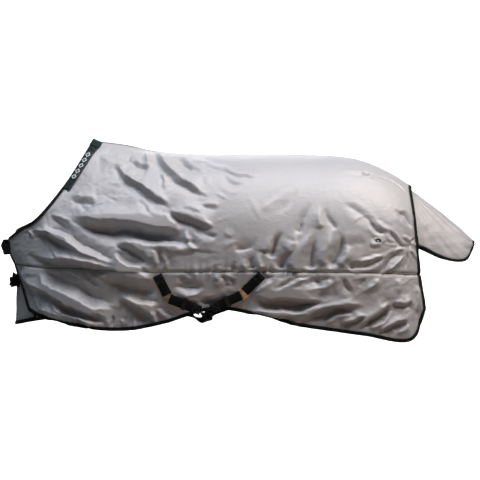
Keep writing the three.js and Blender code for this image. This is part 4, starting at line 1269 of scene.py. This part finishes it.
class FLYSHEET_OT_stage(bpy.types.Operator):
    """Set the floor, the backdrop, the lights and the camera"""

    bl_idname = "fly_sheet.stage"
    bl_label = "Studio"

    def execute(self, context):
        settings = context.scene.fly_sheet_studio
        self.backdrop(settings)
        self.lights(context, settings)
        self.camera(context, settings)
        return {"FINISHED"}

    def backdrop(self, settings):
        """A pale floor that curves up into a wall behind the rug."""
        floor, wall, radius = -3.6, WALL, 2.0
        profile = [(-22.0, floor), (wall - radius, floor)]
        for a in np.linspace(0, math.pi / 2, 16)[1:]:
            profile.append((wall - radius + radius * math.sin(a), floor + radius * (1 - math.cos(a))))
        profile.append((wall, 9.0))
        vertices = [(x, y, z) for y, z in profile for x in (-14.0, 14.0)]
        faces = [(2 * i, 2 * i + 1, 2 * i + 3, 2 * i + 2) for i in range(len(profile) - 1)]
        board = matt_plain("painted_board_matt", "#a6a6a4", 0.9, 0.1)
        made = new_object("studio_sweep", vertices, faces, board)

    def area(self, name, place, target, size, power, colour):
        light = bpy.data.lights.new(name, "AREA")
        light.shape = "RECTANGLE"
        light.size, light.size_y = size
        light.energy = power
        light.color = linear(colour)[:3]
        lamp = bpy.data.objects.new(name, light)
        lamp.location = place
        lamp.rotation_euler = (Vector(target) - Vector(place)).to_track_quat("-Z", "Y").to_euler()
        bpy.context.scene.collection.objects.link(lamp)

    def lights(self, context, settings):
        power = settings.light_power
        self.area("top_light", (0.1, -1.4, 3.2), (0.1, -0.1, -0.3), (4.8, 2.4), 170 * power, "#f2f5ff")
        self.area("rear_top", (2.7, -1.5, 2.7), (0.8, -0.1, -0.3), (1.6, 1.6), 110 * power, "#fff0e2")
        self.area("cool_front", (-4.6, -2.6, 0.6), (-0.4, -0.2, -0.5), (1.2, 1.2), 16 * power, "#a9c3d2")
        self.area("warm_low", (0.9, -3.4, -2.4), (0.1, -0.2, -0.6), (1.4, 1.0), 9 * power, "#ffc39a")
        self.area("back_light", (-0.6, 3.6, 2.6), (0.0, 0.1, -0.3), (3.0, 1.6), 70 * power, "#f6f8ff")
        wide = (10.0, 1.0)
        self.area("backdrop_low", (0.0, WALL - 3.6, -2.9), (0.0, WALL, -0.4), wide, 1150 * power, "#ffffff")
        self.area("backdrop_high", (0.0, WALL - 3.2, 3.8), (0.0, WALL, 1.9), wide, 1150 * power, "#ffffff")
        world = context.scene.world or bpy.data.worlds.new("studio")
        context.scene.world = world
        world.use_nodes = True
        background = world.node_tree.nodes["Background"]
        background.inputs["Color"].default_value = linear("#86a3ae")
        background.inputs["Strength"].default_value = settings.sky
        context.scene.view_settings.view_transform = "Standard"

    def camera(self, context, settings):
        azimuth, elevation = settings.azimuth, settings.elevation
        back = Vector((math.sin(azimuth) * math.cos(elevation), -math.cos(azimuth) * math.cos(elevation),
                       math.sin(elevation)))
        right = Vector((math.cos(azimuth), math.sin(azimuth), 0))
        target = right * settings.centre_along + Vector((0, 0, settings.centre_up))
        data = bpy.data.cameras.new("camera")
        to_near_side = settings.distance - 0.15
        data.lens = data.sensor_width * to_near_side / settings.width
        data.clip_end = 60
        made = bpy.data.objects.new("camera", data)
        made.location = target + back * settings.distance
        made.rotation_euler = back.to_track_quat("Z", "Y").to_euler()
        context.scene.collection.objects.link(made)
        context.scene.camera = made


# --- Settings
class FlySheetCloth(bpy.types.PropertyGroup):
    """What the cloth is like"""

    cloth_colour: FloatVectorProperty(
        name="Cloth colour", description="Colour of the coated cloth, in linear light",
        subtype="COLOR", size=3, min=0, max=1, default=linear("#c6c3c0")[:3],
    )
    thickness: FloatProperty(
        name="Thickness", description="Thickness of the cloth",
        unit="LENGTH", default=1.2 * MM, min=0.0005, max=0.003,
    )
    fold_depth: FloatProperty(name="Fold depth", description="Scales every crease", default=1.5, min=0, max=2)
    crumple: FloatProperty(
        name="Crumple", description="Strength of the fine creases", default=0.22, min=0, max=1,
    )
    shine: FloatProperty(name="Shine", description="How silvery the coating is", default=0.14, min=0, max=1)


class FlySheetStudio(bpy.types.PropertyGroup):
    """How the rug is lit and seen"""

    azimuth: FloatProperty(
        name="Azimuth", description="Camera's turn from the side towards the tail", unit="ROTATION",
        default=math.radians(-2),
    )
    elevation: FloatProperty(
        name="Elevation", description="Camera's height over the horizon",
        unit="ROTATION", default=math.radians(1),
    )
    distance: FloatProperty(name="Distance", description="Camera to rug", unit="LENGTH", default=14.0)
    width: FloatProperty(
        name="Width", description="Width of the view at the rug", unit="LENGTH", default=2.088,
    )
    centre_along: FloatProperty(
        name="Centre along", description="Middle of the view along the rug", unit="LENGTH", default=0.0435,
    )
    centre_up: FloatProperty(
        name="Centre height", description="Middle of the view above the back", unit="LENGTH", default=-0.37,
    )
    light_power: FloatProperty(name="Light", description="Scales every lamp", default=1.0, min=0)
    sky: FloatProperty(name="Sky", description="Strength of the even light all round", default=0.05, min=0)


class FLYSHEET_PT_panel(bpy.types.Panel):
    """Lists the steps that dress the rug"""

    bl_idname = "FLYSHEET_PT_panel"
    bl_label = "Fly sheet"
    bl_space_type = "VIEW_3D"
    bl_region_type = "UI"
    bl_category = "Fly sheet"

    def draw(self, context):
        layout = self.layout
        for group in (context.scene.fly_sheet_cloth, context.scene.fly_sheet_studio):
            for key in group.__annotations__:
                layout.prop(group, key)
        for step in STEPS:
            layout.operator(step.bl_idname)


STEPS = (
    FLYSHEET_OT_cloth, FLYSHEET_OT_bindings, FLYSHEET_OT_seams, FLYSHEET_OT_neck_trim, FLYSHEET_OT_tail_flap,
    FLYSHEET_OT_straps, FLYSHEET_OT_metalwork, FLYSHEET_OT_stage,
)
CLASSES = (FlySheetCloth, FlySheetStudio) + STEPS + (FLYSHEET_PT_panel,)


def register():
    for cls in CLASSES:
        bpy.utils.register_class(cls)
    bpy.types.Scene.fly_sheet_cloth = PointerProperty(type=FlySheetCloth)
    bpy.types.Scene.fly_sheet_studio = PointerProperty(type=FlySheetStudio)


def unregister():
    del bpy.types.Scene.fly_sheet_studio
    del bpy.types.Scene.fly_sheet_cloth
    for cls in reversed(CLASSES):
        bpy.utils.unregister_class(cls)


def main():
    register()
    for step in STEPS:
        group, action = step.bl_idname.split(".")
        getattr(getattr(bpy.ops, group), action)()


if __name__ == "__main__":
    main()
